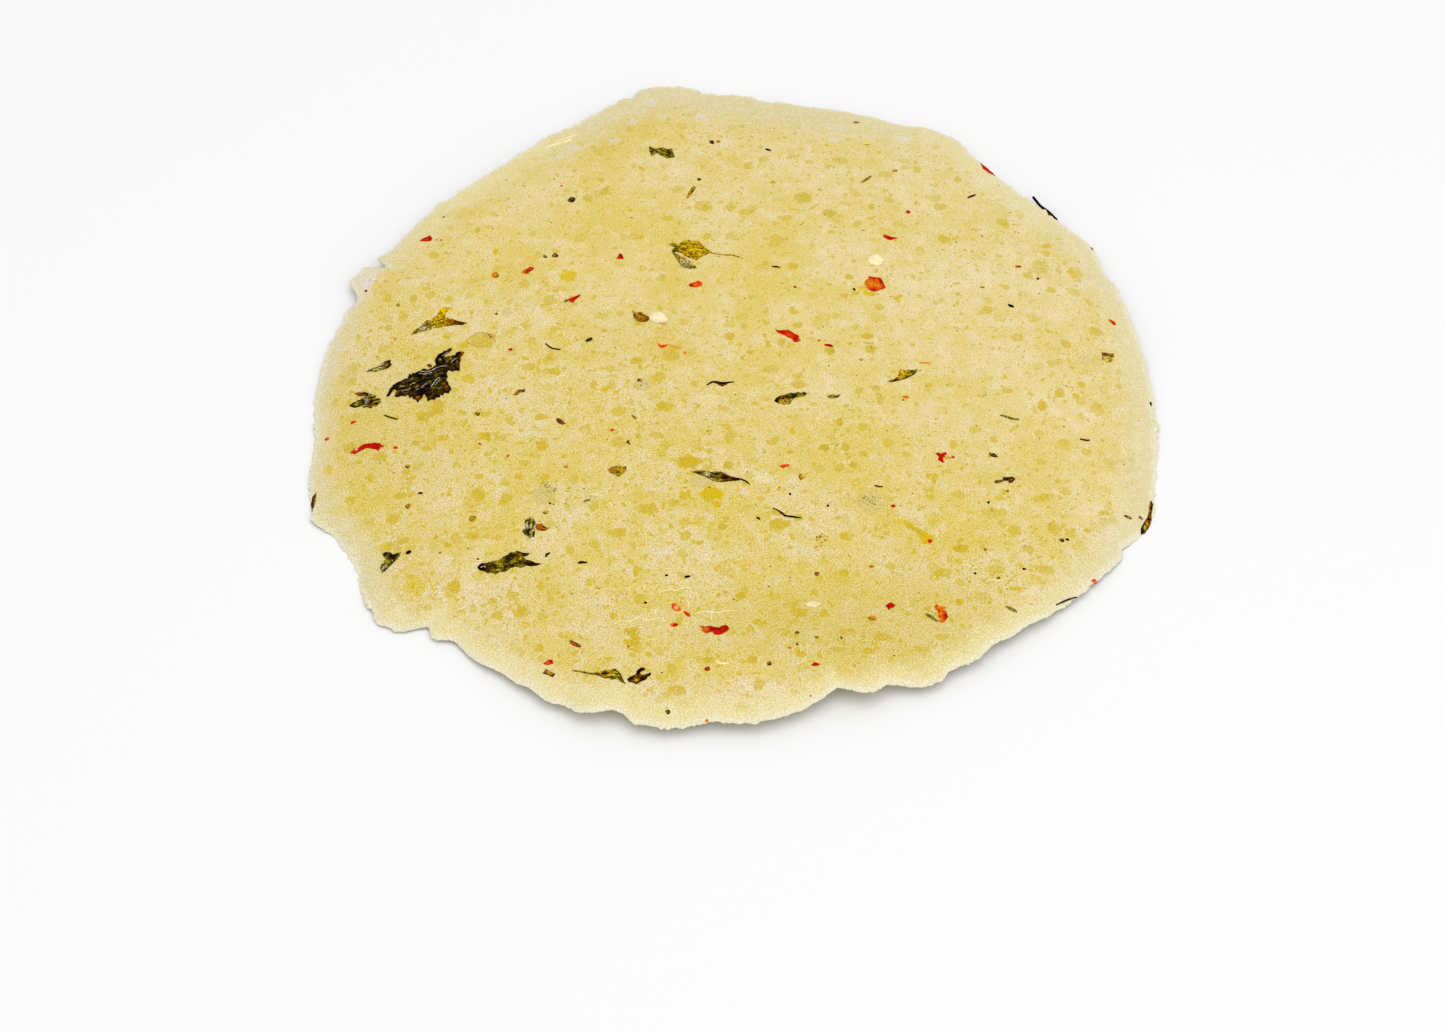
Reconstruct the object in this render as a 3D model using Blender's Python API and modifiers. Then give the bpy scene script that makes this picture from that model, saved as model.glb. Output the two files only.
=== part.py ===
"""One raw papadum: a thin dried disc of spiced dough, crowned in the middle and drooping at its rim.

Metres, +Z up. The origin is below the middle of the disc, on the surface that the rim rests on.
The underside is modelled as one open sheet, and Solidify gives it the dough's thickness.
"""

import math

import bmesh
import bpy
from mathutils import Vector

NAME = "papadum"

# Driving dimensions, in metres
RADIUS = 0.0850  # of the round disc, before its lobes and dents
CROWN_HEIGHT = 0.0062  # the middle of the underside stands this high
MIDDLE_THICKNESS = 0.0008
RIM_THICKNESS = 0.0005
RIM_BAND = 0.15  # share of the radius over which the dough thins towards the rim

# The mesh
RINGS = 14
SEGMENTS = 144
MERGE_DISTANCE = 0.00001

# The crown falls towards the rim as 1 - share ** DROOP_POWER, share being the way out to the rim
DROOP_POWER = 5.0
# How the rings spread: below 1 they crowd towards the rim, where the sheet bends most
RING_CROWDING = 0.75

# Lobes and dents of the outline: (direction in degrees, half width in degrees, metres outwards)
OUTLINE_SWELLS = (
    (100.5, 15.0, 0.0063),  # the far corner
    (134.0, 40.0, -0.0050),  # the flat stretch at the far left
    (158.0, 8.0, 0.0014),  # the lobe beside the tear
    (169.0, 10.0, -0.0016),
    (-177.0, 16.0, -0.0012),
    (-158.0, 11.0, 0.0031),
    (-139.0, 9.0, 0.0048),  # the near left lobe
    (-130.0, 8.0, -0.0018),
    (-110.0, 7.0, 0.0014),
    (-100.0, 12.0, 0.0020),
    (-76.0, 12.0, -0.0049),  # the bay at the near right
    (-54.0, 16.0, -0.0023),
    (-24.0, 16.0, 0.0033),  # the right lobe
    (13.0, 22.0, -0.0009),
    (41.0, 14.0, -0.0016),
    (58.5, 8.0, 0.0022),
)

# How high the rim stands: its usual height, then where it droops or arches
RIM_HEIGHT = 0.0022
# (direction in degrees, half width in degrees, metres up, power of the radius it grows with)
RIM_SWELLS = (
    (-148.0, 38.0, -0.0022, 4.0),  # drooping, near left
    (-18.0, 42.0, -0.0022, 4.0),  # drooping, right
    (95.0, 40.0, -0.0016, 4.0),  # drooping, far side
    (178.0, 30.0, -0.0012, 4.0),
    (-92.0, 34.0, 0.0010, 4.0),  # raised, near side
    (-107.0, 6.0, 0.0010, 11.0),  # a narrow arch
    (-75.0, 9.0, 0.0014, 10.0),  # the arch over the bay
    (-46.0, 8.0, 0.0006, 10.0),
    (46.0, 12.0, 0.0006, 8.0),
    (155.0, 8.0, 0.0008, 9.0),  # the lifted side of the tear
)

# Shallow swells of the whole sheet: (waves across the disc along X, along Y, phase, metres)
SHEET_WAVES = ((0.8, 0.5, 0.9, 0.0003), (-0.5, 1.3, 2.4, 0.0002))

DOUGH_COLOUR = (0.76, 0.60, 0.23, 1.0)
DOUGH_ROUGHNESS = 0.62


def swell(direction, centre, half_width):
    """Returns how far a round bump reaches at a direction: 1 at its centre, 0 past its half width."""
    away = abs((direction - centre + 180.0) % 360.0 - 180.0)
    if away >= half_width:
        return 0.0
    return 0.5 + 0.5 * math.cos(math.pi * away / half_width)


def outline_radius(direction):
    """Returns the rim's distance from the middle in a direction in degrees."""
    return RADIUS + sum(
        height * swell(direction, centre, half_width)
        for centre, half_width, height in OUTLINE_SWELLS
    )


def underside_height(x, y, share, direction):
    """Returns the underside's height at a point, given its share of the way out to the rim."""
    crown = CROWN_HEIGHT * (1.0 - share**DROOP_POWER)
    rim = RIM_HEIGHT * share**DROOP_POWER + sum(
        height * swell(direction, centre, half_width) * share**power
        for centre, half_width, height, power in RIM_SWELLS
    )
    sheet = sum(
        height * math.sin(math.pi * (along_x * x + along_y * y) / RADIUS + phase)
        for along_x, along_y, phase, height in SHEET_WAVES
    )
    return crown + rim + sheet


def turned_disc():
    """Returns a bmesh of a flat round disc of unit radius, turned from one spoke."""
    disc = bmesh.new()
    spoke = [
        disc.verts.new(((ring / RINGS) ** RING_CROWDING, 0.0, 0.0)) for ring in range(RINGS + 1)
    ]
    edges = [disc.edges.new(pair) for pair in zip(spoke, spoke[1:])]
    bmesh.ops.spin(
        disc,
        geom=spoke + edges,
        cent=(0.0, 0.0, 0.0),
        axis=(0.0, 0.0, 1.0),
        angle=2.0 * math.pi,
        steps=SEGMENTS,
        use_merge=True,
    )
    bmesh.ops.remove_doubles(disc, verts=disc.verts[:], dist=MERGE_DISTANCE)
    bmesh.ops.recalc_face_normals(disc, faces=disc.faces[:])
    if sum(face.normal.z for face in disc.faces) < 0.0:
        bmesh.ops.reverse_faces(disc, faces=disc.faces[:])
    return disc


def shape_underside(disc):
    """Gives the flat disc its outline, crown, waves and lifts, and returns each vertex's share."""
    shares = []
    for vert in disc.verts:
        share = min(1.0, math.hypot(vert.co.x, vert.co.y))
        direction = math.degrees(math.atan2(vert.co.y, vert.co.x))
        # The outline's lobes fade towards the middle, so that the pole stays round
        reach = RADIUS + (outline_radius(direction) - RADIUS) * share**2
        vert.co.x *= reach
        vert.co.y *= reach
        vert.co.z = underside_height(vert.co.x, vert.co.y, share, direction)
        shares.append(share)
    return shares


def centre_on_its_box(disc):
    """Moves the sheet so that its box is centred over the origin and its lowest point is at 0."""
    low = Vector(min(vert.co[axis] for vert in disc.verts) for axis in range(3))
    high = Vector(max(vert.co[axis] for vert in disc.verts) for axis in range(3))
    middle = (low + high) / 2.0
    bmesh.ops.translate(disc, verts=disc.verts[:], vec=(-middle.x, -middle.y, -low.z))


def dough_material():
    """Returns the plain matt dough."""
    material = bpy.data.materials.new("papadum_dough")
    material.use_nodes = True
    shader = material.node_tree.nodes["Principled BSDF"]
    shader.inputs["Base Color"].default_value = DOUGH_COLOUR
    shader.inputs["Roughness"].default_value = DOUGH_ROUGHNESS
    shader.inputs["Metallic"].default_value = 0.0
    return material


def make_papadum(collection):
    """Makes the disc in a collection and returns its object."""
    disc = turned_disc()
    shares = shape_underside(disc)
    centre_on_its_box(disc)
    mesh = bpy.data.meshes.new(NAME)
    disc.to_mesh(mesh)
    disc.free()
    mesh.shade_smooth()
    mesh.materials.append(dough_material())

    papadum = bpy.data.objects.new(NAME, mesh)
    collection.objects.link(papadum)

    # The dough is full thickness in the middle and thins over the rim band
    group = papadum.vertex_groups.new(name="dough")
    rim_factor = RIM_THICKNESS / MIDDLE_THICKNESS
    for index, share in enumerate(shares):
        inner = min(1.0, (1.0 - share) / RIM_BAND)
        group.add([index], rim_factor + (1.0 - rim_factor) * inner, "REPLACE")

    thicken = papadum.modifiers.new("thickness", "SOLIDIFY")
    thicken.thickness = MIDDLE_THICKNESS
    thicken.offset = 1.0
    thicken.vertex_group = group.name
    return papadum


def clear_scene():
    """Removes whatever objects the scene starts with."""
    for item in list(bpy.data.objects):
        bpy.data.objects.remove(item, do_unlink=True)


def main():
    """Clears the scene and makes the papadum in a collection of its own."""
    clear_scene()
    collection = bpy.data.collections.new(NAME)
    bpy.context.scene.collection.children.link(collection)
    make_papadum(collection)


main()
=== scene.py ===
"""Looks of one raw papadum: kneaded dough with herb, chilli, seeds and spice pressed into it.

Metres, +Z up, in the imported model's frame. The dough repeats the modelled disc's form and adds its
ragged rim, folds and grain. What is pressed in lies where the photograph shows it: such a place is a
pixel of the photograph's 1445 x 1032 frame, and the camera's ray through it meets the dough there.
"""

from __future__ import annotations

import logging
import math
import random
from dataclasses import dataclass, field
from enum import Enum
from typing import Iterable, Sequence

import bmesh
import bpy
import numpy as np
from mathutils import Matrix, Vector, noise
from mathutils.bvhtree import BVHTree


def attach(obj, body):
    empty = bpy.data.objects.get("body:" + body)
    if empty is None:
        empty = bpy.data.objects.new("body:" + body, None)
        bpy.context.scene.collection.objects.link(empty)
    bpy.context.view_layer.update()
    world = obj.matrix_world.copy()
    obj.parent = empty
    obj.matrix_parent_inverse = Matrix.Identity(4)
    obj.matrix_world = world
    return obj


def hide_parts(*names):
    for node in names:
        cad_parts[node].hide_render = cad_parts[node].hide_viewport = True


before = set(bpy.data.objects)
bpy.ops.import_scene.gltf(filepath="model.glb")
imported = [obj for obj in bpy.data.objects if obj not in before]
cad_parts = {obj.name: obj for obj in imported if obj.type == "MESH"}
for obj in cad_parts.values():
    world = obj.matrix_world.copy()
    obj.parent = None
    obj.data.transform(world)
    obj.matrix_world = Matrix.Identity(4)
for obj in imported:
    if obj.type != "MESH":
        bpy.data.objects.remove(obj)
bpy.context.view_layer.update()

LOG = logging.getLogger("papadum")
ROOT = "root"
CAD_NODE = "papadum"
MM = 0.001

Pixel = tuple[float, float]
Colour = tuple[float, float, float]


class Slot(Enum):
    """The record's material slots."""

    DOUGH = "dough"
    HERB = "herb"
    CHILLI = "chilli"
    SEED = "seed"
    SPICE = "spice"


class Side(Enum):
    """The two faces of the disc that bits are pressed into."""

    TOP = 1
    UNDERSIDE = -1


class Tint(Enum):
    """The soft stains that show in the dough, and the painted highlights laid like them, in the order of
    the finish's colour ramp.
    """

    OLIVE = 0
    GOLD = 1
    YELLOW = 2
    ORANGE = 3
    GREY = 4
    PALE = 5
    WHITE = 6


class Tone(Enum):
    """Pigments of the bits pressed in, as linear colours; GLINT is a painted highlight, not a pigment."""

    BLACK = (0.006, 0.0014, 0.0004)
    DARK_GREEN = (0.045, 0.026, 0.001)
    GREEN = (0.120, 0.095, 0.004)
    OLIVE = (0.245, 0.180, 0.006)
    GOLDEN = (0.450, 0.285, 0.004)
    AMBER = (0.360, 0.185, 0.003)
    BROWN = (0.100, 0.026, 0.001)
    DUSTY = (0.290, 0.240, 0.090)
    RED = (0.510, 0.003, 0.000)
    DARK_RED = (0.360, 0.002, 0.000)
    ORANGE_RED = (0.720, 0.042, 0.001)
    ORANGE = (0.780, 0.210, 0.004)
    YELLOW = (0.740, 0.480, 0.003)
    RUST = (0.330, 0.090, 0.002)
    CREAM = (0.960, 0.840, 0.480)
    STRAW = (0.880, 0.750, 0.380)
    # GLINT: a painted highlight for the leaves' crests, not a pigment
    GLINT = (0.520, 0.475, 0.380)
    ASH = (0.400, 0.335, 0.170)
    HONEY = (0.560, 0.400, 0.045)
    FOXY = (0.720, 0.360, 0.040)


(BLACK, DARK_GREEN, GREEN, OLIVE, GOLDEN, AMBER, BROWN, DUSTY, RED, DARK_RED, ORANGE_RED, ORANGE, YELLOW,
 RUST, CREAM, STRAW, GLINT, ASH, HONEY, FOXY) = Tone


@dataclass(frozen=True)
class Swell:
    """A round bump or dent around the rim: its direction and half width in degrees, and its size."""

    direction: float
    half_width: float
    size: float
    power: float = 2.0

    def share(self, direction: np.ndarray) -> np.ndarray:
        """Tells how much of the swell is felt at each direction.

        Args:
            direction: directions from the middle, in degrees.

        Returns:
            1 at the swell's own direction, falling to 0 at its half width.
        """
        away = np.abs((direction - self.direction + 180.0) % 360.0 - 180.0)
        return 0.5 + 0.5 * np.cos(np.pi * np.minimum(away / self.half_width, 1.0))


def summed(swells: Sequence[Swell], direction: np.ndarray) -> np.ndarray:
    """Adds up what each swell gives at each direction, in degrees."""
    return sum(swell.size * swell.share(direction) for swell in swells)


@dataclass(frozen=True)
class Wave:
    """A shallow wave of the whole sheet: half waves across the disc along X and Y, phase and height."""

    along_x: float
    along_y: float
    phase: float
    height: float


@dataclass(frozen=True)
class DoughForm:
    """The disc's form as it was modelled: a crowned sheet with a lobed, drooping rim."""

    radius: float = 0.0850
    crown_height: float = 0.0062
    thickness: float = 0.0008
    rim_thickness: float = 0.0005
    rim_band: float = 0.15
    droop_power: float = 5.0
    rim_height: float = 0.0022
    spokes: int = 144
    rings: int = 14
    ring_crowding: float = 0.75
    outline: tuple[Swell, ...] = (
        Swell(100.5, 15.0, 0.0063), Swell(134.0, 40.0, -0.0050), Swell(158.0, 8.0, 0.0014),
        Swell(169.0, 10.0, -0.0016), Swell(-177.0, 16.0, -0.0012), Swell(-158.0, 11.0, 0.0031),
        Swell(-139.0, 9.0, 0.0048), Swell(-130.0, 8.0, -0.0018), Swell(-110.0, 7.0, 0.0014),
        Swell(-100.0, 12.0, 0.0020), Swell(-76.0, 12.0, -0.0049), Swell(-54.0, 16.0, -0.0023),
        Swell(-24.0, 16.0, 0.0033), Swell(13.0, 22.0, -0.0009), Swell(41.0, 14.0, -0.0016),
        Swell(58.5, 8.0, 0.0022),
    )
    lifts: tuple[Swell, ...] = (
        Swell(-148.0, 38.0, -0.0022, 4.0), Swell(-18.0, 42.0, -0.0022, 4.0),
        Swell(95.0, 40.0, -0.0016, 4.0), Swell(178.0, 30.0, -0.0012, 4.0), Swell(-92.0, 34.0, 0.0010, 4.0),
        Swell(-107.0, 6.0, 0.0010, 11.0), Swell(-75.0, 9.0, 0.0014, 10.0), Swell(-46.0, 8.0, 0.0006, 10.0),
        Swell(46.0, 12.0, 0.0006, 8.0), Swell(155.0, 8.0, 0.0008, 9.0),
    )
    waves: tuple[Wave, ...] = (Wave(0.8, 0.5, 0.9, 0.0003), Wave(-0.5, 1.3, 2.4, 0.0002))

    def rim_radius(self, direction: np.ndarray) -> np.ndarray:
        """Gives the rim's distance from the middle.

        Args:
            direction: directions in degrees.

        Returns:
            One distance in metres for each direction.
        """
        return self.radius + summed(self.outline, direction)

    def reach(self, share: np.ndarray, direction: np.ndarray) -> np.ndarray:
        """Gives the length of one share of the way out, whose lobes fade towards the middle.

        Args:
            share: shares of the way out to the rim, from 0 to 1.
            direction: directions in degrees.

        Returns:
            Metres for each share.
        """
        return self.radius + (self.rim_radius(direction) - self.radius) * share**2

    def underside(self, x: np.ndarray, y: np.ndarray, share: np.ndarray,
                  direction: np.ndarray) -> np.ndarray:
        """Gives the underside's height, before the form is moved over the origin.

        Args:
            x: places along X, in metres from the middle.
            y: places along Y.
            share: shares of the way out to the rim.
            direction: directions in degrees.

        Returns:
            Heights in metres.
        """
        height = self.crown_height * (1.0 - share**self.droop_power)
        height = height + self.rim_height * share**self.droop_power
        for lift in self.lifts:
            height = height + lift.size * lift.share(direction) * share**lift.power
        for wave in self.waves:
            turn = np.pi * (wave.along_x * x + wave.along_y * y) / self.radius + wave.phase
            height = height + wave.height * np.sin(turn)
        return height

    def shift(self) -> Vector:
        """Gives the move that centres the modelled sheet's box over the origin and stands it at 0."""
        spoke = np.arange(self.spokes) * 360.0 / self.spokes
        ring = (np.arange(self.rings + 1) / self.rings) ** self.ring_crowding
        direction, share = (grid.ravel() for grid in np.meshgrid(spoke, ring))
        out = self.reach(share, direction) * share
        x = out * np.cos(np.radians(direction))
        y = out * np.sin(np.radians(direction))
        z = self.underside(x, y, share, direction)
        middle_x = (x.min() + x.max()) / 2.0
        middle_y = (y.min() + y.max()) / 2.0
        return Vector((-middle_x, -middle_y, -z.min()))

    def top_at(self, x: float, y: float) -> float:
        """Gives the plain top's height in the frame, near enough to find a pixel's place on it.

        Args:
            x: place along X in the frame, in metres.
            y: place along Y in the frame.

        Returns:
            Height in metres.
        """
        shift = self.shift()
        x, y = x - shift.x, y - shift.y
        direction = np.array([math.degrees(math.atan2(y, x))])
        out = math.hypot(x, y)
        share = np.array([min(1.0, out / float(self.rim_radius(direction)[0]))])
        height = float(self.underside(np.array([x]), np.array([y]), share, direction)[0])
        return height + shift.z + self.thickness


@dataclass(frozen=True)
class PhotoCamera:
    """The camera that took the photograph, in the form's own coordinates."""

    place: tuple[float, float, float] = (-0.00179, -0.47073, 0.51808)
    below_horizon: float = 49.75
    focal_pixels: float = 3462.6
    image_width: int = 1445
    image_height: int = 1032
    sensor_width: float = 36.0
    clip_near: float = 0.05
    clip_far: float = 20.0

    def build(self, shift: Vector) -> bpy.types.Object:
        """Makes the scene's camera.

        Args:
            shift: the move from the form's own coordinates to the frame's.

        Returns:
            The camera object.
        """
        data = bpy.data.cameras.new("camera")
        data.sensor_width = self.sensor_width
        data.lens = self.focal_pixels * self.sensor_width / self.image_width
        data.clip_start = self.clip_near
        data.clip_end = self.clip_far
        camera = bpy.data.objects.new("camera", data)
        camera.location = Vector(self.place) + shift
        camera.rotation_euler = (math.radians(90.0 - self.below_horizon), 0.0, 0.0)
        bpy.context.scene.collection.objects.link(camera)
        bpy.context.scene.camera = camera
        return camera

    def ray(self, pixel: Pixel) -> Vector:
        """Gives the direction in which a pixel is seen.

        Args:
            pixel: a place in the photograph.

        Returns:
            A unit vector.
        """
        tilt = math.radians(self.below_horizon)
        ahead = Vector((0.0, math.cos(tilt), -math.sin(tilt)))
        up = Vector((0.0, math.sin(tilt), math.cos(tilt)))
        right = (pixel[0] - self.image_width / 2.0) / self.focal_pixels
        down = (pixel[1] - self.image_height / 2.0) / self.focal_pixels
        return (ahead + Vector((right, 0.0, 0.0)) - up * down).normalized()


@dataclass(frozen=True)
class View:
    """The photograph's view of the form: it finds where a pixel's ray meets the plain top."""

    form: DoughForm
    camera: PhotoCamera
    tries: int = 4

    @property
    def eye(self) -> Vector:
        """Gives the camera's place in the frame."""
        return Vector(self.camera.place) + self.form.shift()

    def on_top(self, pixel: Pixel) -> Vector:
        """Finds where a pixel lies on the plain top.

        Args:
            pixel: a place in the photograph.

        Returns:
            The place in the frame, in metres.
        """
        eye, ray = self.eye, self.camera.ray(pixel)
        height = self.form.crown_height
        place = eye
        for _ in range(self.tries):
            place = eye + ray * ((height - eye.z) / ray.z)
            height = self.form.top_at(place.x, place.y)
        return place


# Soft stains in the dough, and painted highlights laid like them among the PALE and WHITE rows: pixel,
# width and depth on the dough in millimetres, and strength
STAINS_AND_HIGHLIGHTS: dict[Tint, tuple[tuple[float, float, float, float, float], ...]] = {
    Tint.GOLD: (
        (632, 642, 3.4, 1.9, 0.8), (404, 540, 2.2, 1.2, 0.7), (398, 548, 2.0, 1.2, 0.6),
        (730, 336, 2.2, 2.5, 0.7), (636, 361, 2.8, 1.7, 0.7), (659, 377, 2.5, 3.0, 0.6),
        (694, 383, 1.8, 1.7, 0.5), (665, 406, 3.6, 3.0, 0.6), (725, 409, 2.0, 1.6, 0.5),
        (731, 434, 1.8, 2.4, 0.5), (656, 435, 3.0, 1.9, 0.5), (689, 462, 4.8, 3.3, 0.9),
        (649, 509, 3.8, 3.0, 0.6), (671, 355, 3.6, 3.2, 0.6), (619, 411, 2.8, 2.7, 0.5),
        (618, 443, 3.4, 2.7, 0.5), (610, 369, 2.4, 1.9, 0.5), (779, 524, 4.0, 2.7, 0.7),
        (840, 422, 1.4, 2.4, 0.8), (617, 533, 3.4, 2.2, 0.6), (703, 206, 4.0, 3.4, 0.5),
        (776, 241, 3.4, 3.5, 0.5), (746, 212, 2.6, 1.9, 0.5), (792, 266, 2.2, 1.9, 0.5),
        (662, 278, 2.0, 2.2, 0.5), (786, 218, 2.2, 1.6, 0.5),
        (960, 548, 2.8, 2.0, 0.9), (1054, 528, 2.8, 3.2, 0.6), (1015, 530, 2.8, 2.4, 0.6),
        (1042, 406, 1.8, 2.8, 0.7), (1096, 408, 2.8, 3.3, 0.4), (1060, 393, 1.8, 2.5, 0.5),
        (1007, 391, 2.0, 1.7, 0.6), (1081, 385, 1.8, 1.7, 0.6), (1017, 338, 2.6, 2.5, 0.5),
        (959, 602, 1.8, 1.6, 0.8), (486, 436, 2.4, 2.2, 0.8), (542, 445, 2.4, 3.0, 0.7),
        (478, 494, 2.8, 2.5, 0.7), (472, 502, 3.2, 2.7, 0.4), (393, 519, 3.0, 2.2, 0.6),
        (400, 495, 2.2, 1.4, 0.7), (407, 471, 1.8, 1.9, 0.6), (410, 482, 1.4, 1.9, 0.5),
        (454, 586, 2.8, 2.8, 0.7), (472, 535, 2.6, 1.9, 0.6), (521, 613, 3.0, 2.3, 0.5),
        (512, 595, 2.4, 1.9, 0.5), (677, 690, 3.8, 2.2, 0.8), (741, 595, 2.0, 1.7, 0.9),
        (799, 612, 3.0, 2.2, 0.7), (761, 622, 2.6, 2.2, 0.6), (753, 660, 1.6, 1.7, 0.7),
        (801, 654, 2.2, 1.6, 0.7), (868, 651, 2.4, 1.4, 0.7), (881, 637, 3.2, 2.0, 0.6),
        (943, 572, 3.0, 2.2, 0.6), (381, 456, 3.0, 2.7, 0.6), (427, 448, 2.4, 1.7, 0.6),
        (444, 437, 2.4, 1.4, 0.6), (524, 462, 2.0, 1.6, 0.5), (519, 476, 1.8, 1.7, 0.6),
        (430, 395, 2.6, 1.8, 0.6), (528, 367, 3.0, 2.2, 0.5), (549, 359, 2.6, 1.6, 0.5),
        (437, 411, 2.2, 1.6, 0.7), (484, 414, 2.0, 1.6, 0.5), (541, 417, 2.4, 1.8, 0.6),
        (423, 611, 3.6, 3.3, 0.4), (612, 385, 1.8, 3.0, 0.5), (849, 277, 2.0, 1.6, 0.6),
        (472, 312, 0.8, 1.6, 0.7), (636, 236, 2.8, 2.5, 0.5), (633, 655, 1.6, 0.8, 0.6),
    ),
    Tint.OLIVE: (
        (872.5, 497.6, 2.2, 1.1, 0.6), (860, 505, 1.3, 1.1, 0.6), (879, 501.6, 0.9, 0.7, 0.7),
        (481, 340, 5.4, 3.3, 0.55), (632, 631, 3.0, 1.8, 0.8), (670, 357, 3.2, 2.2, 0.5),
        (867, 336, 2.4, 1.7, 0.7), (870, 349, 2.2, 2.2, 0.7), (830, 351, 2.0, 2.0, 0.8),
        (782, 343, 1.6, 2.5, 0.6), (771, 370, 3.4, 2.2, 0.4), (799, 385, 3.4, 1.9, 0.6),
        (824, 448, 2.2, 2.2, 0.8), (845, 447, 1.6, 2.5, 0.7), (853, 465, 1.6, 1.9, 0.7),
        (728, 465, 2.0, 2.2, 0.7), (674, 503, 2.0, 1.9, 0.6), (751, 460, 2.8, 1.9, 0.3),
        (876, 388, 1.8, 1.6, 0.6), (880, 399, 1.6, 3.0, 0.5), (723, 527, 1.8, 1.6, 0.7),
        (1001, 223, 2.6, 2.6, 0.4), (1040, 267, 3.4, 4.5, 0.4), (1096, 331, 3.2, 2.4, 0.5),
        (1065, 344, 2.2, 2.2, 0.6), (1058, 362, 2.2, 2.0, 0.4), (996, 569, 4.0, 2.2, 0.5),
        (1044, 569, 4.0, 2.2, 0.5), (984, 598, 3.6, 2.7, 0.4), (1016, 588, 2.8, 1.2, 0.6),
        (990, 513, 3.6, 3.0, 0.4), (1103, 522, 2.2, 2.4, 0.5), (1104, 512, 2.4, 1.2, 0.6),
        (1131, 458, 1.4, 1.6, 0.5), (1109, 461, 2.8, 2.0, 0.3), (1065, 491, 2.4, 1.9, 0.4),
        (1038, 499, 2.4, 1.6, 0.4), (350, 447, 3.0, 2.4, 0.5), (503, 437, 1.6, 1.9, 0.5),
        (398, 543, 2.4, 2.2, 0.5), (466, 624, 2.4, 2.2, 0.5), (493, 601, 1.6, 1.6, 0.6),
        (384, 292, 1.6, 1.3, 0.4), (414, 299, 1.8, 2.2, 0.6), (803, 198, 3.6, 3.5, 0.7),
        (840, 160, 3.2, 2.6, 0.4), (886, 174, 3.2, 2.4, 0.4), (940, 207, 3.0, 2.4, 0.5),
        (763, 159, 2.6, 2.2, 0.4), (793, 157, 2.4, 2.0, 0.4), (599, 152, 2.4, 2.6, 0.3),
        (678, 189, 3.4, 2.4, 0.4), (588, 198, 2.0, 2.2, 0.5), (605, 192, 2.8, 2.2, 0.4),
        (829, 214, 3.0, 2.6, 0.6), (889, 200, 2.4, 2.2, 0.5), (846, 632, 3.4, 1.6, 0.5),
        (672, 669, 2.0, 2.4, 0.5), (759, 683, 2.2, 2.4, 0.5), (739, 707, 2.4, 2.0, 0.4),
        (660, 698, 2.4, 1.6, 0.4), (921, 648, 3.4, 1.6, 0.4), (942, 637, 2.4, 1.6, 0.5),
        (948, 659, 1.6, 2.2, 0.6), (788, 605, 2.6, 1.6, 0.4), (838, 649, 3.0, 1.6, 0.5),
        (1028, 276, 2.0, 2.2, 0.5), (439, 403, 2.4, 2.2, 0.6), (425, 418, 2.0, 1.9, 0.6),
        (389, 328, 1.6, 1.9, 0.6), (708, 660, 2.4, 1.6, 0.6), (784, 632, 3.0, 1.9, 0.5),
        (1028, 549, 2.6, 1.9, 0.6), (549, 371, 2.8, 1.6, 0.5), (525, 325, 1.8, 1.6, 0.5),
        (549, 301, 2.4, 3.3, 0.5), (524, 285, 2.4, 2.2, 0.5),
    ),
    Tint.YELLOW: (
        (712, 494, 4.6, 3.0, 1.0), (717, 506, 1.4, 1.0, 0.8), (792, 431, 1.0, 1.9, 0.7),
        (473, 519, 1.6, 1.9, 0.9), (383, 547, 4.0, 1.9, 0.8),
        (920, 532.4, 1.9, 1.5, 0.9), (927, 538.4, 2.6, 2.7, 1.0), (900, 522, 3.2, 1.4, 0.4),
        (911, 526.6, 1.6, 1.0, 0.8), (915.4, 529.4, 1.8, 1.2, 0.9),
        (328, 470, 1.8, 3.0, 0.7), (1075, 272, 3.2, 3.8, 0.8), (1058, 238, 1.4, 1.0, 0.9),
        (414, 586, 5.0, 3.5, 0.4), (871, 294, 3.0, 1.1, 0.9),
        (496, 252, 1.2, 1.9, 0.8), (568, 276, 3.6, 3.6, 0.7), (862, 288, 1.8, 1.3, 0.6),
        (876, 240, 2.4, 1.4, 0.4), (604, 390, 1.4, 1.2, 0.8), (697, 523, 1.6, 1.0, 0.6),
    ),
    Tint.ORANGE: (
        (665, 331, 5.0, 2.4, 0.35), (676, 347, 2.6, 1.2, 0.8), (822, 539, 3.0, 2.4, 0.35),
        (948, 458, 1.4, 0.9, 0.50), (668, 346, 3.4, 1.4, 0.45),
        (745, 563, 4.0, 1.8, 0.40), (495, 275, 1.6, 2.2, 0.8), (750, 540, 2.4, 1.6, 0.3),
        (681, 609, 4.2, 3.4, 0.30), (866, 497, 2.0, 2.0, 0.3), (498, 537, 2.0, 1.2, 0.6),
        (640, 232, 3.2, 2.2, 0.25), (531, 262, 3.4, 2.6, 0.25), (760, 498, 1.6, 1.4, 0.5),
    ),
    Tint.GREY: (
        (687, 265, 3.4, 2.6, 0.7), (870, 502, 6.2, 5.4, 0.45), (643, 384, 4.2, 3.4, 0.5),
        (545, 494, 5.0, 5.0, 0.5), (588, 500, 3.4, 2.6, 0.5), (700, 482, 4.6, 2.8, 0.4),
        (383, 568, 2.4, 2.4, 0.5), (568, 303, 2.4, 3.0, 0.4), (350, 375, 3.6, 6.0, 0.3),
        (507, 312, 2.0, 2.6, 0.5), (1085, 360, 3.4, 3.0, 0.3), (475, 436, 2.4, 1.4, 0.4),
        (510, 352, 1.6, 2.2, 0.6), (832, 505, 2.4, 1.6, 0.3), (980, 372, 2.6, 2.2, 0.25),
    ),
    Tint.PALE: (
        (710, 401, 5.6, 3.6, 0.5), (760, 392, 5.0, 2.4, 0.4), (765, 478, 4.0, 3.0, 0.6),
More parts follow.
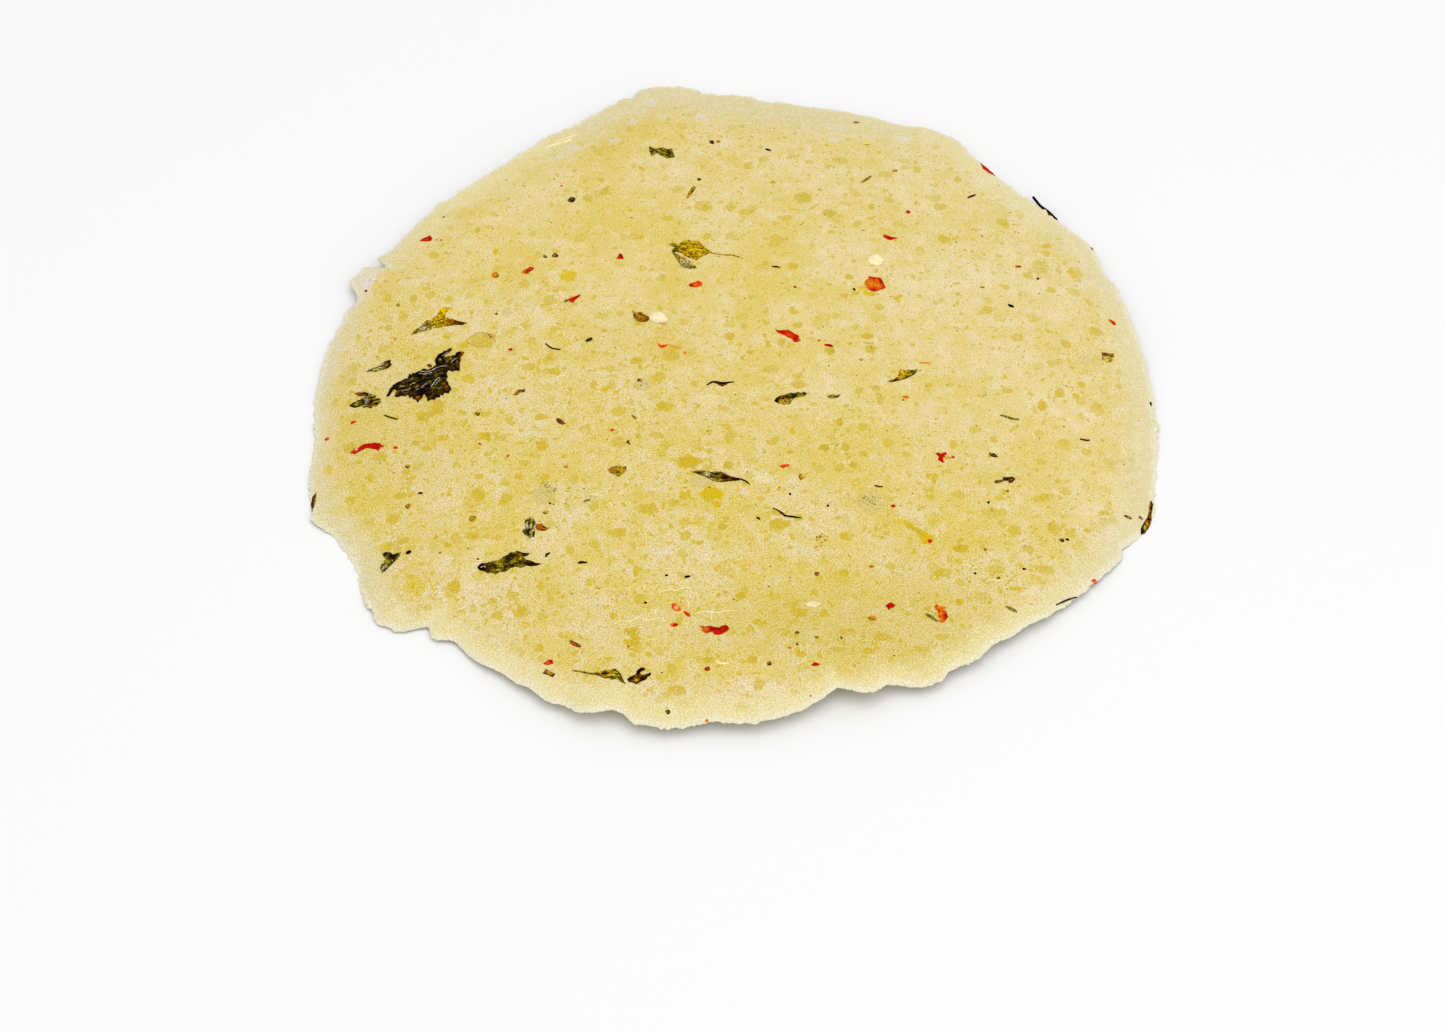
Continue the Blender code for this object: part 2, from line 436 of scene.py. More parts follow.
        (1120, 500, 4.0, 6.0, 0.5), (1108, 480, 5.0, 4.0, 0.4),
        (470, 300, 6.0, 6.0, 0.3), (540, 320, 6.0, 5.0, 0.3), (1028, 590, 5.0, 2.6, 0.5),
        # From (352, 552) on, a painted highlight along the ridge of the folded lip at the near left
        (440, 560, 6.0, 4.0, 0.3), (1000, 250, 6.0, 4.0, 0.3), (352, 552, 3.0, 4.0, 0.6),
        (362, 575, 3.0, 5.0, 0.6), (376, 598, 4.0, 4.0, 0.6), (400, 612, 5.0, 3.0, 0.6),
        (425, 624, 4.0, 3.0, 0.5),
    ),
    # The WHITE rows along the far rim (pixel rows above 160) are a painted reflection: the whitish sheen of
    # the far rim
    Tint.WHITE: (
        (366, 278, 4.4, 4.4, 0.9), (375, 270, 4.4, 2.0, 0.7), (358, 296, 2.8, 4.4, 0.7),
        (585, 118, 7.0, 2.2, 0.4), (770, 118, 5.0, 2.0, 0.3), (1108, 282, 3.0, 7.0, 0.4),
        (649, 101, 3.6, 3.6, 1.0), (700, 116, 2.6, 2.2, 0.7), (633, 121, 2.4, 2.4, 0.5),
        (574, 148, 3.0, 2.4, 0.6), (843, 128, 2.6, 1.8, 0.6), (829, 127, 1.8, 1.6, 0.5),
        (904, 139, 2.4, 2.6, 0.7), (834, 140, 2.6, 1.6, 0.6), (805, 128, 2.0, 1.4, 0.4),
        (615, 141, 2.6, 1.8, 0.5), (746, 111, 2.6, 1.4, 0.4), (362, 283, 4.6, 5.5, 1.0),
        (1013, 207, 2.6, 2.4, 0.5), (975, 178, 2.4, 2.0, 0.4), (345, 318, 2.2, 3.4, 0.7),
        (337, 345, 2.0, 3.4, 0.6), (560, 158, 3.6, 2.0, 0.4), (1078, 287, 2.0, 2.0, 0.3),
        (352, 303, 2.2, 3.2, 0.7), (330, 366, 2.0, 3.6, 0.5), (325, 386, 1.8, 3.4, 0.4),
    ),
}


# Broad soft washes: pixel, width and depth in millimetres, and how much paler (or darker, below 0)
WASHES: tuple[tuple[float, float, float, float, float], ...] = (
    (985, 290, 62, 76, 0.32), (800, 170, 46, 30, 0.32), (1110, 420, 22, 50, 0.15),
    (1105, 535, 18, 14, 0.45), (530, 312, 18, 16, 0.35), (640, 572, 22, 13, 0.30),
    (410, 285, 16, 16, 0.25), (510, 192, 18, 12, 0.25), (700, 690, 50, 10, 0.30),
    (800, 620, 62, 19, -0.45), (870, 645, 34, 12, -0.25), (940, 590, 28, 20, -0.25),
    (670, 338, 18, 14, -0.20), (380, 410, 22, 26, -0.25), (420, 465, 18, 14, -0.25),
    (560, 590, 20, 14, -0.15), (1010, 470, 30, 14, -0.20), (600, 340, 14, 14, -0.15),
    (430, 600, 18, 12, 0.35), (500, 640, 20, 10, 0.20),
)


@dataclass(frozen=True)
class Fold:
    """A low ridge across the sheet between two pixels, in metres high and wide."""

    start: Pixel
    end: Pixel
    height: float
    half_width: float


@dataclass
class RaggedRim:
    """The fine unevenness that rolling leaves at the rim, outwards, in metres."""

    scallop: float = 0.00040
    scallop_length: float = 0.0052
    nibble: float = 0.00058
    nibble_length: float = 0.0017
    fray: float = 0.00048
    fray_length: float = 0.00066
    calm_share: float = 0.35
    calm_length: float = 0.021
    fade_power: float = 30.0
    notches: tuple[Swell, ...] = (
        Swell(117.0, 8.0, 0.0018), Swell(103.9, 1.3, -0.0012), Swell(93.8, 1.4, -0.0011),
        Swell(88.4, 3.6, 0.0016), Swell(46.0, 11.0, -0.0013), Swell(34.0, 5.0, -0.0007),
        Swell(22.5, 4.0, -0.0005), Swell(-11.0, 13.0, 0.0010), Swell(-22.3, 4.0, 0.0008),
        Swell(-27.8, 3.0, -0.0014), Swell(-37.5, 4.0, 0.0006), Swell(-56.5, 5.0, 0.0007),
        Swell(-67.6, 4.5, -0.0016), Swell(-72.6, 3.0, 0.0014), Swell(-80.5, 5.0, 0.0012),
        Swell(-93.0, 5.0, -0.0008), Swell(-104.4, 3.0, -0.0013), Swell(-108.4, 3.0, 0.0006),
        Swell(-114.0, 4.5, 0.0007), Swell(-121.7, 3.5, -0.0007), Swell(-131.6, 2.4, 0.0012),
        Swell(-134.0, 2.0, -0.0024), Swell(-145.3, 6.0, 0.0014), Swell(-153.8, 4.0, -0.0009),
        Swell(-157.6, 1.8, 0.0007), Swell(-166.5, 6.0, 0.0008), Swell(176.0, 6.0, -0.0008),
        Swell(166.0, 6.0, -0.0013), Swell(162.0, 3.6, -0.0031), Swell(157.4, 2.0, -0.0008),
        Swell(155.4, 1.25, -0.0060), Swell(151.5, 9.0, -0.0016),
    )

    def outward(self, direction: np.ndarray, radius: float) -> np.ndarray:
        """Gives how far the torn edge stands out from the smooth outline.

        Args:
            direction: directions in degrees.
            radius: the disc's radius, on which the lengths are laid off.

        Returns:
            Metres outwards for each direction.
        """
        result = np.zeros(len(direction))
        turns = np.radians(direction)
        for index, turn in enumerate(turns):
            spot = Vector((math.cos(turn), math.sin(turn), 0.0)) * radius
            arc = abs(noise.noise(spot / self.scallop_length)) * 2.0 - 0.5
            bite = noise.noise(spot / self.nibble_length + Vector((7.0, 3.0, 1.0)))
            hair = noise.noise(spot / self.fray_length + Vector((2.0, 9.0, 5.0)))
            rough = max(0.0, min(1.0, 0.5 + 2.0 * noise.noise(spot / self.calm_length)))
            torn = self.calm_share + (1.0 - self.calm_share) * rough
            result[index] = self.scallop * arc + (self.nibble * bite + self.fray * hair) * torn
        return result + summed(self.notches, direction)


@dataclass
class PapadumSheet:
    """The rolled dough: one closed sheet with a ragged, wavy rim, low folds and a fine unevenness."""

    form: DoughForm
    view: View
    cells: int = 166
    finer_bands: tuple[float, ...] = (0.945, 0.982)
    rim_crowding: float = 0.92
    rim: RaggedRim = field(default_factory=RaggedRim)
    edge_factor: float = 0.42
    edge_band: float = 0.0011
    edge_power: float = 0.6
    sway: float = 0.00022
    sway_length: float = 0.017
    ripple: float = 0.00011
    ripple_length: float = 0.0055
    grain: float = 0.00004
    grain_length: float = 0.0018
    curl: float = 0.00055
    curl_length: float = 0.0105
    curl_power: float = 14.0
    curl_from: float = 0.7
    fold_bow: float = 0.15
    fold_taper: float = 0.7
    sharp_degrees: float = 50.0
    floor_gap: float = 0.00002
    # The width of the paler outer band in millimetres, and what its swells add to it; where it is widest,
    # at the back, the band is laid with painted shade
    pale_width: float = 5.0
    pale_swells: tuple[Swell, ...] = (
        Swell(90.0, 52.0, 9.0), Swell(140.0, 24.0, 3.0), Swell(35.0, 35.0, 4.0), Swell(-12.0, 36.0, 4.0),
        Swell(-105.0, 30.0, 2.5), Swell(-145.0, 25.0, 2.5),
    )
    folds: tuple[Fold, ...] = (
        Fold((540, 486), (629, 503), 0.00025, 0.0016), Fold((618, 602), (722, 618), 0.00022, 0.0012),
        Fold((660, 588), (700, 592), 0.00018, 0.0009), Fold((368, 566), (398, 612), 0.00035, 0.0016),
        Fold((384, 590), (428, 622), 0.00030, 0.0013), Fold((405, 578), (450, 618), -0.00025, 0.0020),
        Fold((880, 640), (1010, 628), 0.00020, 0.0018),
    )

    def build(self) -> bpy.types.Object:
        """Makes the sheet.

        Returns:
            The sheet's object, with its thickness in its mesh and the stains and painted highlights on its
            vertices.
        """
        sheet = bmesh.new()
        bmesh.ops.create_grid(sheet, x_segments=self.cells, y_segments=self.cells, size=1.0)
        for band in self.finer_bands:
            outer = [edge for edge in sheet.edges if min(map(self.squareness, edge.verts)) > band]
            bmesh.ops.subdivide_edges(sheet, edges=outer, cuts=1, use_grid_fill=True)
        share, direction = self.round_off(sheet)
        places, rim_distance = self.shape(share, direction)
        for vert, place in zip(sheet.verts, places):
            vert.co = place
        mesh = bpy.data.meshes.new("papadum_sheet")
        sheet.to_mesh(mesh)
        sheet.free()
        self.write_attributes(mesh, places, rim_distance)
        pale_band = self.pale_width + summed(self.pale_swells, direction)
        for name, values in (("pale_band", pale_band), ("wash", self.washed(places))):
            attribute = mesh.attributes.new(name, "FLOAT", "POINT")
            attribute.data.foreach_set("value", values.astype(np.float32))
        sheet_object = bpy.data.objects.new("papadum_sheet", mesh)
        bpy.context.scene.collection.objects.link(sheet_object)
        self.thicken(sheet_object, share, rim_distance)
        return sheet_object

    @staticmethod
    def squareness(vert: bmesh.types.BMVert) -> float:
        """Gives a flat grid vertex's share of the way out to the grid's edge."""
        return max(abs(vert.co.x), abs(vert.co.y))

    def round_off(self, sheet: bmesh.types.BMesh) -> tuple[np.ndarray, np.ndarray]:
        """Finds where each vertex of a square grid goes on a round disc.

        Args:
            sheet: the grid, from -1 to 1 each way.

        Returns:
            The shares of the way out and the directions in degrees.
        """
        across, along = np.array([vert.co.xy for vert in sheet.verts]).T
        sideways = np.abs(across) > np.abs(along)
        outer = np.where(sideways, across, along)
        inner = np.where(sideways, along, across)
        slope = np.divide(inner, outer, out=np.zeros_like(outer), where=outer != 0.0)
        turn = np.where(sideways, slope * 45.0, 90.0 - slope * 45.0)
        turn = np.where(outer < 0.0, turn + 180.0, turn)
        direction = (turn + 180.0) % 360.0 - 180.0
        return np.abs(outer) ** self.rim_crowding, direction

    def shape(self, share: np.ndarray, direction: np.ndarray) -> tuple[np.ndarray, np.ndarray]:
        """Places the vertices of the underside.

        Args:
            share: shares of the way out.
            direction: directions in degrees.

        Returns:
            The places in the frame and each one's distance from the rim, in metres.
        """
        ragged = self.rim.outward(direction, self.form.radius)
        reach = self.form.reach(share, direction) + ragged * share**self.rim.fade_power
        out = reach * share
        x = out * np.cos(np.radians(direction))
        y = out * np.sin(np.radians(direction))
        z = self.form.underside(x, y, share, direction)
        shift = self.form.shift()
        places = np.stack([x + shift.x, y + shift.y, z + shift.z], 1)
        places[:, 2] += self.unevenness(places, share)
        places[:, 2] += self.folded(places)
        places[:, 2] = np.maximum(places[:, 2], self.floor_gap)
        rim_distance = self.form.rim_radius(direction) + ragged - out
        return places, rim_distance

    def unevenness(self, places: np.ndarray, share: np.ndarray) -> np.ndarray:
        """Gives the sheet's small bends, which grow into a curled edge at the rim.

        Args:
            places: the plain sheet's vertices.
            share: their shares of the way out.

        Returns:
            Metres up for each vertex.
        """
        bends = np.zeros(len(places))
        for index, (x, y, _) in enumerate(places):
            spot = Vector((x, y, 0.0))
            bend = self.sway * noise.noise(spot / self.sway_length)
            bend += self.ripple * noise.noise(spot / self.ripple_length + Vector((4.0, 8.0, 2.0)))
            bend += self.grain * noise.noise(spot / self.grain_length + Vector((1.0, 5.0, 9.0)))
            if share[index] > self.curl_from:
                roll = noise.noise(spot / self.curl_length + Vector((6.0, 1.0, 3.0)))
                roll += 0.5 * noise.noise(spot / (0.4 * self.curl_length) + Vector((3.0, 6.0, 1.0)))
                bend += self.curl * roll * share[index] ** self.curl_power
            bends[index] = bend
        return bends

    def folded(self, places: np.ndarray) -> np.ndarray:
        """Gives the height of the low folds.

        Args:
            places: the sheet's vertices.

        Returns:
            Metres up for each vertex.
        """
        height = np.zeros(len(places))
        for fold in self.folds:
            start, end = (self.view.on_top(pixel) for pixel in (fold.start, fold.end))
            run = np.array((end - start).xy)
            away = places[:, :2] - np.array(start.xy)
            along = away @ run / (run @ run)
            side = (away[:, 0] * run[1] - away[:, 1] * run[0]) / np.linalg.norm(run)
            bow = self.fold_bow * np.linalg.norm(run) * (along - along**2)
            taper = np.clip(along * (1.0 - along) * 4.0, 0.0, 1.0) ** self.fold_taper
            height += fold.height * taper * np.exp(-(((side - bow) / fold.half_width) ** 2))
        return height

    def washed(self, places: np.ndarray) -> np.ndarray:
        """Gives how much paler, or darker below 0, the dough is in its broad washes.

        Args:
            places: the sheet's vertices.

        Returns:
            The washes' sum for each vertex.
        """
        total = np.zeros(len(places))
        for column, row, width, depth, amount in WASHES:
            away = (places[:, :2] - np.array(self.view.on_top((column, row)).xy)) / MM
            total += amount * np.exp(-((away[:, 0] * 2.0 / width) ** 2) - (away[:, 1] * 2.0 / depth) ** 2)
        return total

    def write_attributes(self, mesh: bpy.types.Mesh, places: np.ndarray, rim_distance: np.ndarray) -> None:
        """Writes what the dough's finish reads: millimetres from the rim, and the nearest of the stains and
        painted highlights.

        Args:
            mesh: the underside's mesh.
            places: its vertices.
            rim_distance: their distances from the rim, in metres.
        """
        rim = mesh.attributes.new("rim", "FLOAT", "POINT")
        rim.data.foreach_set("value", (rim_distance / MM).astype(np.float32))
        place = np.zeros((len(places), 3), np.float32)
        look = np.zeros((len(places), 3), np.float32)
        nearest = np.full(len(places), np.inf)
        for tint, rows in STAINS_AND_HIGHLIGHTS.items():
            for column, row, width, depth, strength in rows:
                centre = self.view.on_top((column, row))
                half = np.array((width, depth)) * MM / 2.0
                away = places[:, :2] - np.array(centre.xy)
                gap = np.linalg.norm(away, axis=1) - half.mean()
                closer = gap < nearest
                nearest[closer] = gap[closer]
                inside = away[closer] / half
                place[closer, :2] = inside
                place[closer, 2] = np.linalg.norm(inside, axis=1)
                look[closer] = (tint.value / (len(Tint) - 1), strength, 0.0)
        for name, values in (("stain_and_highlight_place", place), ("stain_and_highlight_look", look)):
            attribute = mesh.attributes.new(name, "FLOAT_VECTOR", "POINT")
            attribute.data.foreach_set("vector", values.ravel())

    def thicken(self, sheet: bpy.types.Object, share: np.ndarray, rim_distance: np.ndarray) -> None:
        """Gives the sheet its thickness, thinner over the rim band and thinnest at the edge.

        Args:
            sheet: the underside's object.
            share: its vertices' shares of the way out.
            rim_distance: their distances from the rim.
        """
        form = self.form
        rim_factor = form.rim_thickness / form.thickness
        inner = np.minimum(1.0, (1.0 - share) / form.rim_band)
        weight = rim_factor + (1.0 - rim_factor) * inner
        near = np.clip(rim_distance / self.edge_band, 0.0, 1.0)
        weight *= self.edge_factor + (1.0 - self.edge_factor) * near**self.edge_power
        group = sheet.vertex_groups.new(name="dough")
        for index, value in enumerate(weight):
            group.add([index], float(value), "REPLACE")
        solid = sheet.modifiers.new("thickness", "SOLIDIFY")
        solid.thickness = form.thickness
        solid.offset = 1.0
        solid.vertex_group = group.name
        thick = bpy.data.meshes.new_from_object(
            sheet.evaluated_get(bpy.context.evaluated_depsgraph_get())
        )
        sheet.modifiers.clear()
        sheet.vertex_groups.clear()
        plain = sheet.data
        sheet.data = thick
        bpy.data.meshes.remove(plain)
        thick.name = "papadum_sheet"
        thick.shade_smooth()
        thick.set_sharp_from_angle(angle=math.radians(self.sharp_degrees))


class DoughSurface:
    """Finds where things lie on the finished sheet."""

    DROP = 0.05
    STEP = 0.0008

    def __init__(self, sheet: bpy.types.Object, view: View) -> None:
        """Reads the finished sheet.

        Args:
            sheet: the dough's object.
            view: the photograph's view.
        """
        self.tree = BVHTree.FromObject(sheet, bpy.context.evaluated_depsgraph_get())
        self.view = view

    def seen(self, pixel: Pixel) -> Vector:
        """Finds the place on the dough that a pixel shows, or the nearest one past its rim.

        Args:
            pixel: a place in the photograph.

        Returns:
            The place, in metres.
        """
        place = self.tree.ray_cast(self.view.eye, self.view.camera.ray(pixel))[0]
        return place if place is not None else self.view.on_top(pixel)

    def path(self, pixels: Iterable[Pixel]) -> list[Vector]:
        """Finds the places on the dough that some pixels show."""
        return [self.seen(pixel) for pixel in pixels]

    def level(self, x: float, y: float, side: Side) -> float:
        """Gives the height of one face of the dough.

        Args:
            x: place along X.
            y: place along Y.
            side: the face.

        Returns:
            Its height, or that of the nearest dough for a place past the rim.
        """
        start = Vector((x, y, self.DROP * side.value))
        place = self.tree.ray_cast(start, Vector((0.0, 0.0, -side.value)))[0]
        if place is None:
            place = self.tree.find_nearest(Vector((x, y, 0.0)))[0]
        return place.z

    def normal(self, x: float, y: float) -> Vector:
        """Gives the top's upward normal at a place.

        Args:
            x: place along X.
            y: place along Y.

        Returns:
            A unit vector.
        """
        rise_x = self.level(x + self.STEP, y, Side.TOP) - self.level(x - self.STEP, y, Side.TOP)
        rise_y = self.level(x, y + self.STEP, Side.TOP) - self.level(x, y - self.STEP, Side.TOP)
        return Vector((-rise_x, -rise_y, 2.0 * self.STEP)).normalized()


@dataclass(frozen=True)
class Dab:
    """A soft spot of another tone on a flake, at a pixel, with its radius in millimetres."""

    pixel: Pixel
    radius: float
    tone: Tone


@dataclass(frozen=True)
class Flake:
    """A flat bit, outlined in pixels, with its tones from left to right and its crumpling in metres.

    A sunk one has a soft edge, and the edges of the others are darker.
    """

    outline: tuple[Pixel, ...]
    tones: tuple[Tone, ...]
    crumple: float = 0.00010
    dabs: tuple[Dab, ...] = ()
    sunk: bool = False


@dataclass(frozen=True)
class Bit:
    """A small bit at a pixel: its width and depth on the dough in millimetres, its tones and turn."""

    pixel: Pixel
    width: float
    depth: float
    tones: tuple[Tone, ...]
    turn: float = 0.0


@dataclass(frozen=True)
class Thread:
    """A stalk or fibre through pixels, with its width in millimetres and its tone."""

    path: tuple[Pixel, ...]
    width: float
    tone: Tone


LEAVES = (
    # The long green leaf near the front, its left end curled over and nearly black
    Flake(((477.4, 567.6), (479.6, 565.6), (481.6, 563.5), (485.4, 563.6), (489, 562.7), (493.6, 561.2),
        (497.3, 561), (500.6, 559.6), (504, 556.9), (507.6, 555.4), (510.6, 552.7), (514.6, 552.6),
        (517.2, 551.1), (522.4, 553), (529.7, 553.5), (526.6, 555.8), (522.2, 556.9), (524.6, 558.6),
        (525.5, 560.2), (532.2, 561.8), (536, 563.6), (541.3, 563.9), (536.6, 565.4), (530.5, 566),
        (526, 565.2), (520.6, 567.6), (516, 566.2), (510.6, 567.6), (507, 570.4), (504, 571.8),
        (500, 571.2), (495.7, 574.3), (492, 572.4), (487.4, 572.6), (484, 570.6), (479.9, 570.1)),
        (BLACK, BLACK, OLIVE, DARK_GREEN, OLIVE, BLACK, BROWN), 0.0003, (Dab((487, 569), 1.0, BLACK),
        Dab((499, 566), 1.2, OLIVE), Dab((495, 571), 0.8, OLIVE), Dab((508, 558.6), 0.9, BLACK),
        Dab((516, 555), 0.5, BROWN), Dab((524, 554.4), 0.8, BLACK), Dab((511, 564.6), 0.7, GREEN),
        Dab((520, 563), 0.7, BLACK), Dab((521, 558.4), 0.3, AMBER), Dab((514, 560), 0.3, OLIVE),
        Dab((486, 565), 0.35, BROWN), Dab((527, 564.6), 0.4, AMBER), Dab((534, 564), 0.7, BLACK),
        Dab((529, 562), 0.5, BROWN), Dab((517, 566), 0.4, BROWN), Dab((490.6, 566.4), 0.5, BROWN),
        Dab((505.4, 567), 0.45, BLACK), Dab((513, 556.4), 0.4, BLACK))),
    # The golden leaf with a pale stalk behind the middle, and its folded grey lower half
    Flake(((669, 244.6), (672.4, 243), (676, 243.8), (679, 246), (680.4, 243), (684, 241.4), (688, 240),
        (693, 241.4), (698, 241), (701.5, 244.6), (705.6, 248.4), (711.6, 252.2), (706.5, 254.4),
        (700.4, 257), (696.4, 260), (691, 258.4), (686, 256), (681, 252.6), (676, 251.4), (672.6, 253.6),
        (672, 250), (675.6, 247.6)), (OLIVE, OLIVE, GOLDEN, GOLDEN, GOLDEN, GOLDEN, AMBER), 0.00018,
        (Dab((673, 245), 0.6, OLIVE), Dab((675, 251.4), 0.5, DARK_GREEN), Dab((684, 250.4), 0.6, RUST),
        Dab((690, 254.6), 0.5, RUST), Dab((692, 245.4), 1.2, GOLDEN), Dab((699, 252), 0.8, GOLDEN),
        Dab((682, 244.6), 0.7, OLIVE), Dab((697, 257.6), 0.6, AMBER), Dab((703, 249.6), 0.7, GOLDEN)),
        True),
    Flake(((673.4, 253.4), (677, 254), (680, 256.2), (686, 258.8), (689.6, 261), (693, 264), (696.6, 268),
        (690, 269), (684.6, 267.4), (681.6, 266), (678.4, 261.6), (676, 258)),
        (OLIVE, HONEY, DUSTY, HONEY, OLIVE), 0.00014, (Dab((674.6, 254.6), 0.5, BLACK),
        Dab((679, 258.4), 0.4, DARK_GREEN), Dab((684.4, 264.6), 0.35, DARK_GREEN),
        Dab((694, 267.4), 0.4, DARK_GREEN), Dab((689, 263.6), 0.5, ASH)), True),
    # The yellow leaf at the left: a grey place, a bright upper lobe and a brown spike
    Flake(((411.6, 335), (413.4, 332.4), (416.8, 329), (419.6, 327.6), (423, 324.6), (426.6, 320.6),
        (430.4, 321), (433.8, 317.5), (436.6, 316.6), (438.2, 313.3), (440.9, 308.9), (444.5, 307.4),
        (448.8, 308.3), (448, 311), (445.3, 313), (444.8, 317.5), (447.4, 318.6), (449.8, 319.2),
        (454, 319.8), (456.1, 320.7), (460.5, 322.1), (466.4, 323), (462.3, 324.8), (456, 324.6),
        (451.6, 325.4), (445.4, 325.9), (438.2, 327.7), (433, 328), (429.3, 330.2), (423, 331.2),
        (417.7, 332.7)), (OLIVE, OLIVE, GOLDEN, GOLDEN, AMBER, BROWN, BROWN), 0.00014,
        (Dab((414, 333), 0.6, OLIVE), Dab((424, 328), 0.9, ASH), Dab((427.6, 324.4), 0.6, DARK_GREEN),
        Dab((442.6, 311.6), 1.1, YELLOW), Dab((436, 321), 0.9, GOLDEN), Dab((444, 321.6), 0.6, AMBER),
        Dab((434, 326), 0.7, OLIVE), Dab((449, 322.4), 0.6, RUST), Dab((455, 322.6), 0.5, BROWN),
        Dab((460, 322.8), 0.5, BLACK)), True),
    # The leaf at the far side
    Flake(((649.3, 146.3), (654.4, 148.9), (658, 148.6), (662, 147.6), (667, 149.4), (672.2, 148.9),
        (672, 151), (673, 153), (674.8, 157), (667.1, 158.2), (661, 155), (656.9, 152.7), (651.8, 156),
        (650, 151)), (OLIVE, GREEN, OLIVE, GREEN), 0.00016, (Dab((657, 150.6), 0.7, OLIVE),
        Dab((669, 154), 0.7, DARK_GREEN))),
    # The leaf with a stalk to its left, near the front
    Flake(((592, 673.4), (598.3, 672.4), (602, 671.6), (605.9, 669.9), (610.6, 670.4), (614.8, 669.2),
        (618, 671.2), (620.6, 674.4), (622.4, 679.2), (625.4, 684), (621, 681.4), (618.7, 679),
        (614, 678.6), (608.5, 677.7), (604.6, 678), (600.8, 676.2)), (OLIVE, AMBER, OLIVE, OLIVE, OLIVE),
        0.00016, (Dab((609, 673.6), 0.5, AMBER), Dab((621, 679), 0.5, BLACK))),
    # The curly brown bit beside it, whose arms leave a loop open
    Flake(((627.4, 679.2), (631, 676.6), (636, 674.8), (637, 671.4), (639, 669.4), (641.6, 667.8),
        (645, 668.7), (643.6, 670.4), (640.6, 671.4), (639.4, 674), (642, 676), (646, 674.6),
        (650.6, 672.8), (650.6, 674.8), (647.4, 676.6), (646, 679.2), (641, 681), (636.5, 684), (632, 682),
        (629, 681.8)), (BROWN, BLACK, BROWN, BLACK), 0.00022, (Dab((636, 680), 0.5, AMBER),
        Dab((640, 678.6), 0.4, RUST), Dab((632, 679), 0.4, BLACK))),
    # The big black leaf, crumpled hard, with painted grey highlights on its crests
    Flake(((386.4, 396.5), (388.2, 393.4), (390, 390.2), (393.6, 385.7), (397.1, 383), (399.8, 382.6),
        (402.5, 381.4), (405, 379.2), (407.9, 378.6), (409, 376.2), (412.4, 375.2), (415, 373.4),
        (419.5, 371.4), (423.9, 370.2), (427.6, 370.8), (430.8, 368.6), (434.6, 367.4), (436, 365),
        (440, 366.8), (443.4, 369.4), (447.6, 371.2), (446.2, 373.6), (447.4, 376.6), (445.6, 380.4),
        (448, 383.4), (449, 386.4), (451.4, 389), (449.4, 391), (448.6, 393.2), (444.4, 392.6),
        (442.7, 395), (439.6, 394.8), (440, 397.4), (436.4, 397.1), (434.6, 399.6), (430.8, 399.2),
        (427.6, 401.4), (427.4, 397.6), (426, 395.8), (424.4, 393.6), (422.6, 395.4), (421.6, 398.4),
        (419.2, 399.6), (417.7, 402.6), (416, 399.2), (413.8, 399), (412.4, 396.6), (409.6, 397.7),
        (408.3, 394.4), (405.4, 396), (401.6, 395.6), (398, 397), (394.5, 396.4), (397.2, 392.6),
        (396.4, 389.4), (393.6, 389.2), (391.6, 392), (388.8, 396.2)),
        (BLACK, BLACK, DARK_GREEN, BLACK, BLACK, DARK_GREEN, BLACK), 0.0006, (Dab((430, 384), 0.4, GREEN),
        Dab((418, 380.6), 0.4, GREEN), Dab((424, 387), 0.3, OLIVE), Dab((409.6, 391), 0.3, OLIVE),
        Dab((436, 377), 0.3, OLIVE), Dab((406, 386), 0.5, BROWN), Dab((398, 394.8), 0.35, RUST),
        Dab((403, 392), 0.35, BROWN), Dab((414.6, 394), 0.4, BROWN), Dab((418, 398.4), 0.45, RUST),
        Dab((423.6, 379), 0.3, BROWN), Dab((440, 388), 0.4, GREEN), Dab((441, 380.6), 0.3, BROWN),
        Dab((431, 396), 0.5, BROWN), Dab((447, 389), 0.4, RUST), Dab((412, 380), 0.3, OLIVE),
        Dab((417, 387.6), 0.3, OLIVE), Dab((426, 374.6), 0.35, OLIVE), Dab((433, 389), 0.3, OLIVE),
        Dab((443.6, 384.4), 0.3, OLIVE), Dab((401, 387.6), 0.3, OLIVE), Dab((392.4, 392.4), 0.3, BROWN))),
    Flake(((435.5, 362.5), (435.4, 359.6), (437, 357), (438.6, 354.6), (441, 353.6), (446.3, 351.3),
        (449, 349), (451.6, 348.4), (451, 350.6), (449, 352.5), (445.4, 353.8), (443.2, 357), (446, 358.2),
        (450, 357.5), (452.6, 355.8), (455.2, 355.4), (456.6, 352.8), (459.6, 352.2), (463.8, 352.8),
        (462.4, 355), (460.2, 357), (460.4, 360.6), (459.2, 363.4), (459.6, 367), (459.4, 370.7),
        (455.4, 370.4), (452.4, 371.6), (449, 370), (446.4, 371), (443, 369.2), (440, 368.4),
        (437.2, 365.6)), (BLACK, BLACK, DARK_GREEN, BLACK, BROWN), 0.0005, (Dab((456.6, 363.4), 0.3, OLIVE),
        Dab((440.6, 360.6), 0.3, OLIVE), Dab((450.4, 365.4), 0.3, OLIVE), Dab((448, 362), 0.35, GREEN),
        Dab((443.6, 365.6), 0.3, BROWN), Dab((451.4, 359.6), 0.3, RUST), Dab((461.4, 354.6), 0.4, RUST),
        Dab((453.6, 368), 0.5, BROWN))),
    # A grain of grey leaf with a black tip, beside it
    Flake(((366.6, 372), (369, 369.6), (374, 368), (377, 367.4), (379.3, 365.6), (383, 362.8),
        (386.4, 361.2), (390.6, 360.2), (390, 362.6), (391.4, 364.6), (388, 368.2), (383, 369.6),
        (379, 370.4), (375, 371.8), (371, 371.2)), (BLACK, DUSTY, OLIVE, DUSTY, BROWN, BLACK), 0.00016,
        (Dab((385.6, 364.6), 0.5, AMBER), Dab((388.6, 362.4), 0.5, BLACK))),
    Flake(((349.4, 406), (353.4, 402.6), (355.4, 402.4), (358, 400.4), (360.6, 400), (362.3, 397.8),
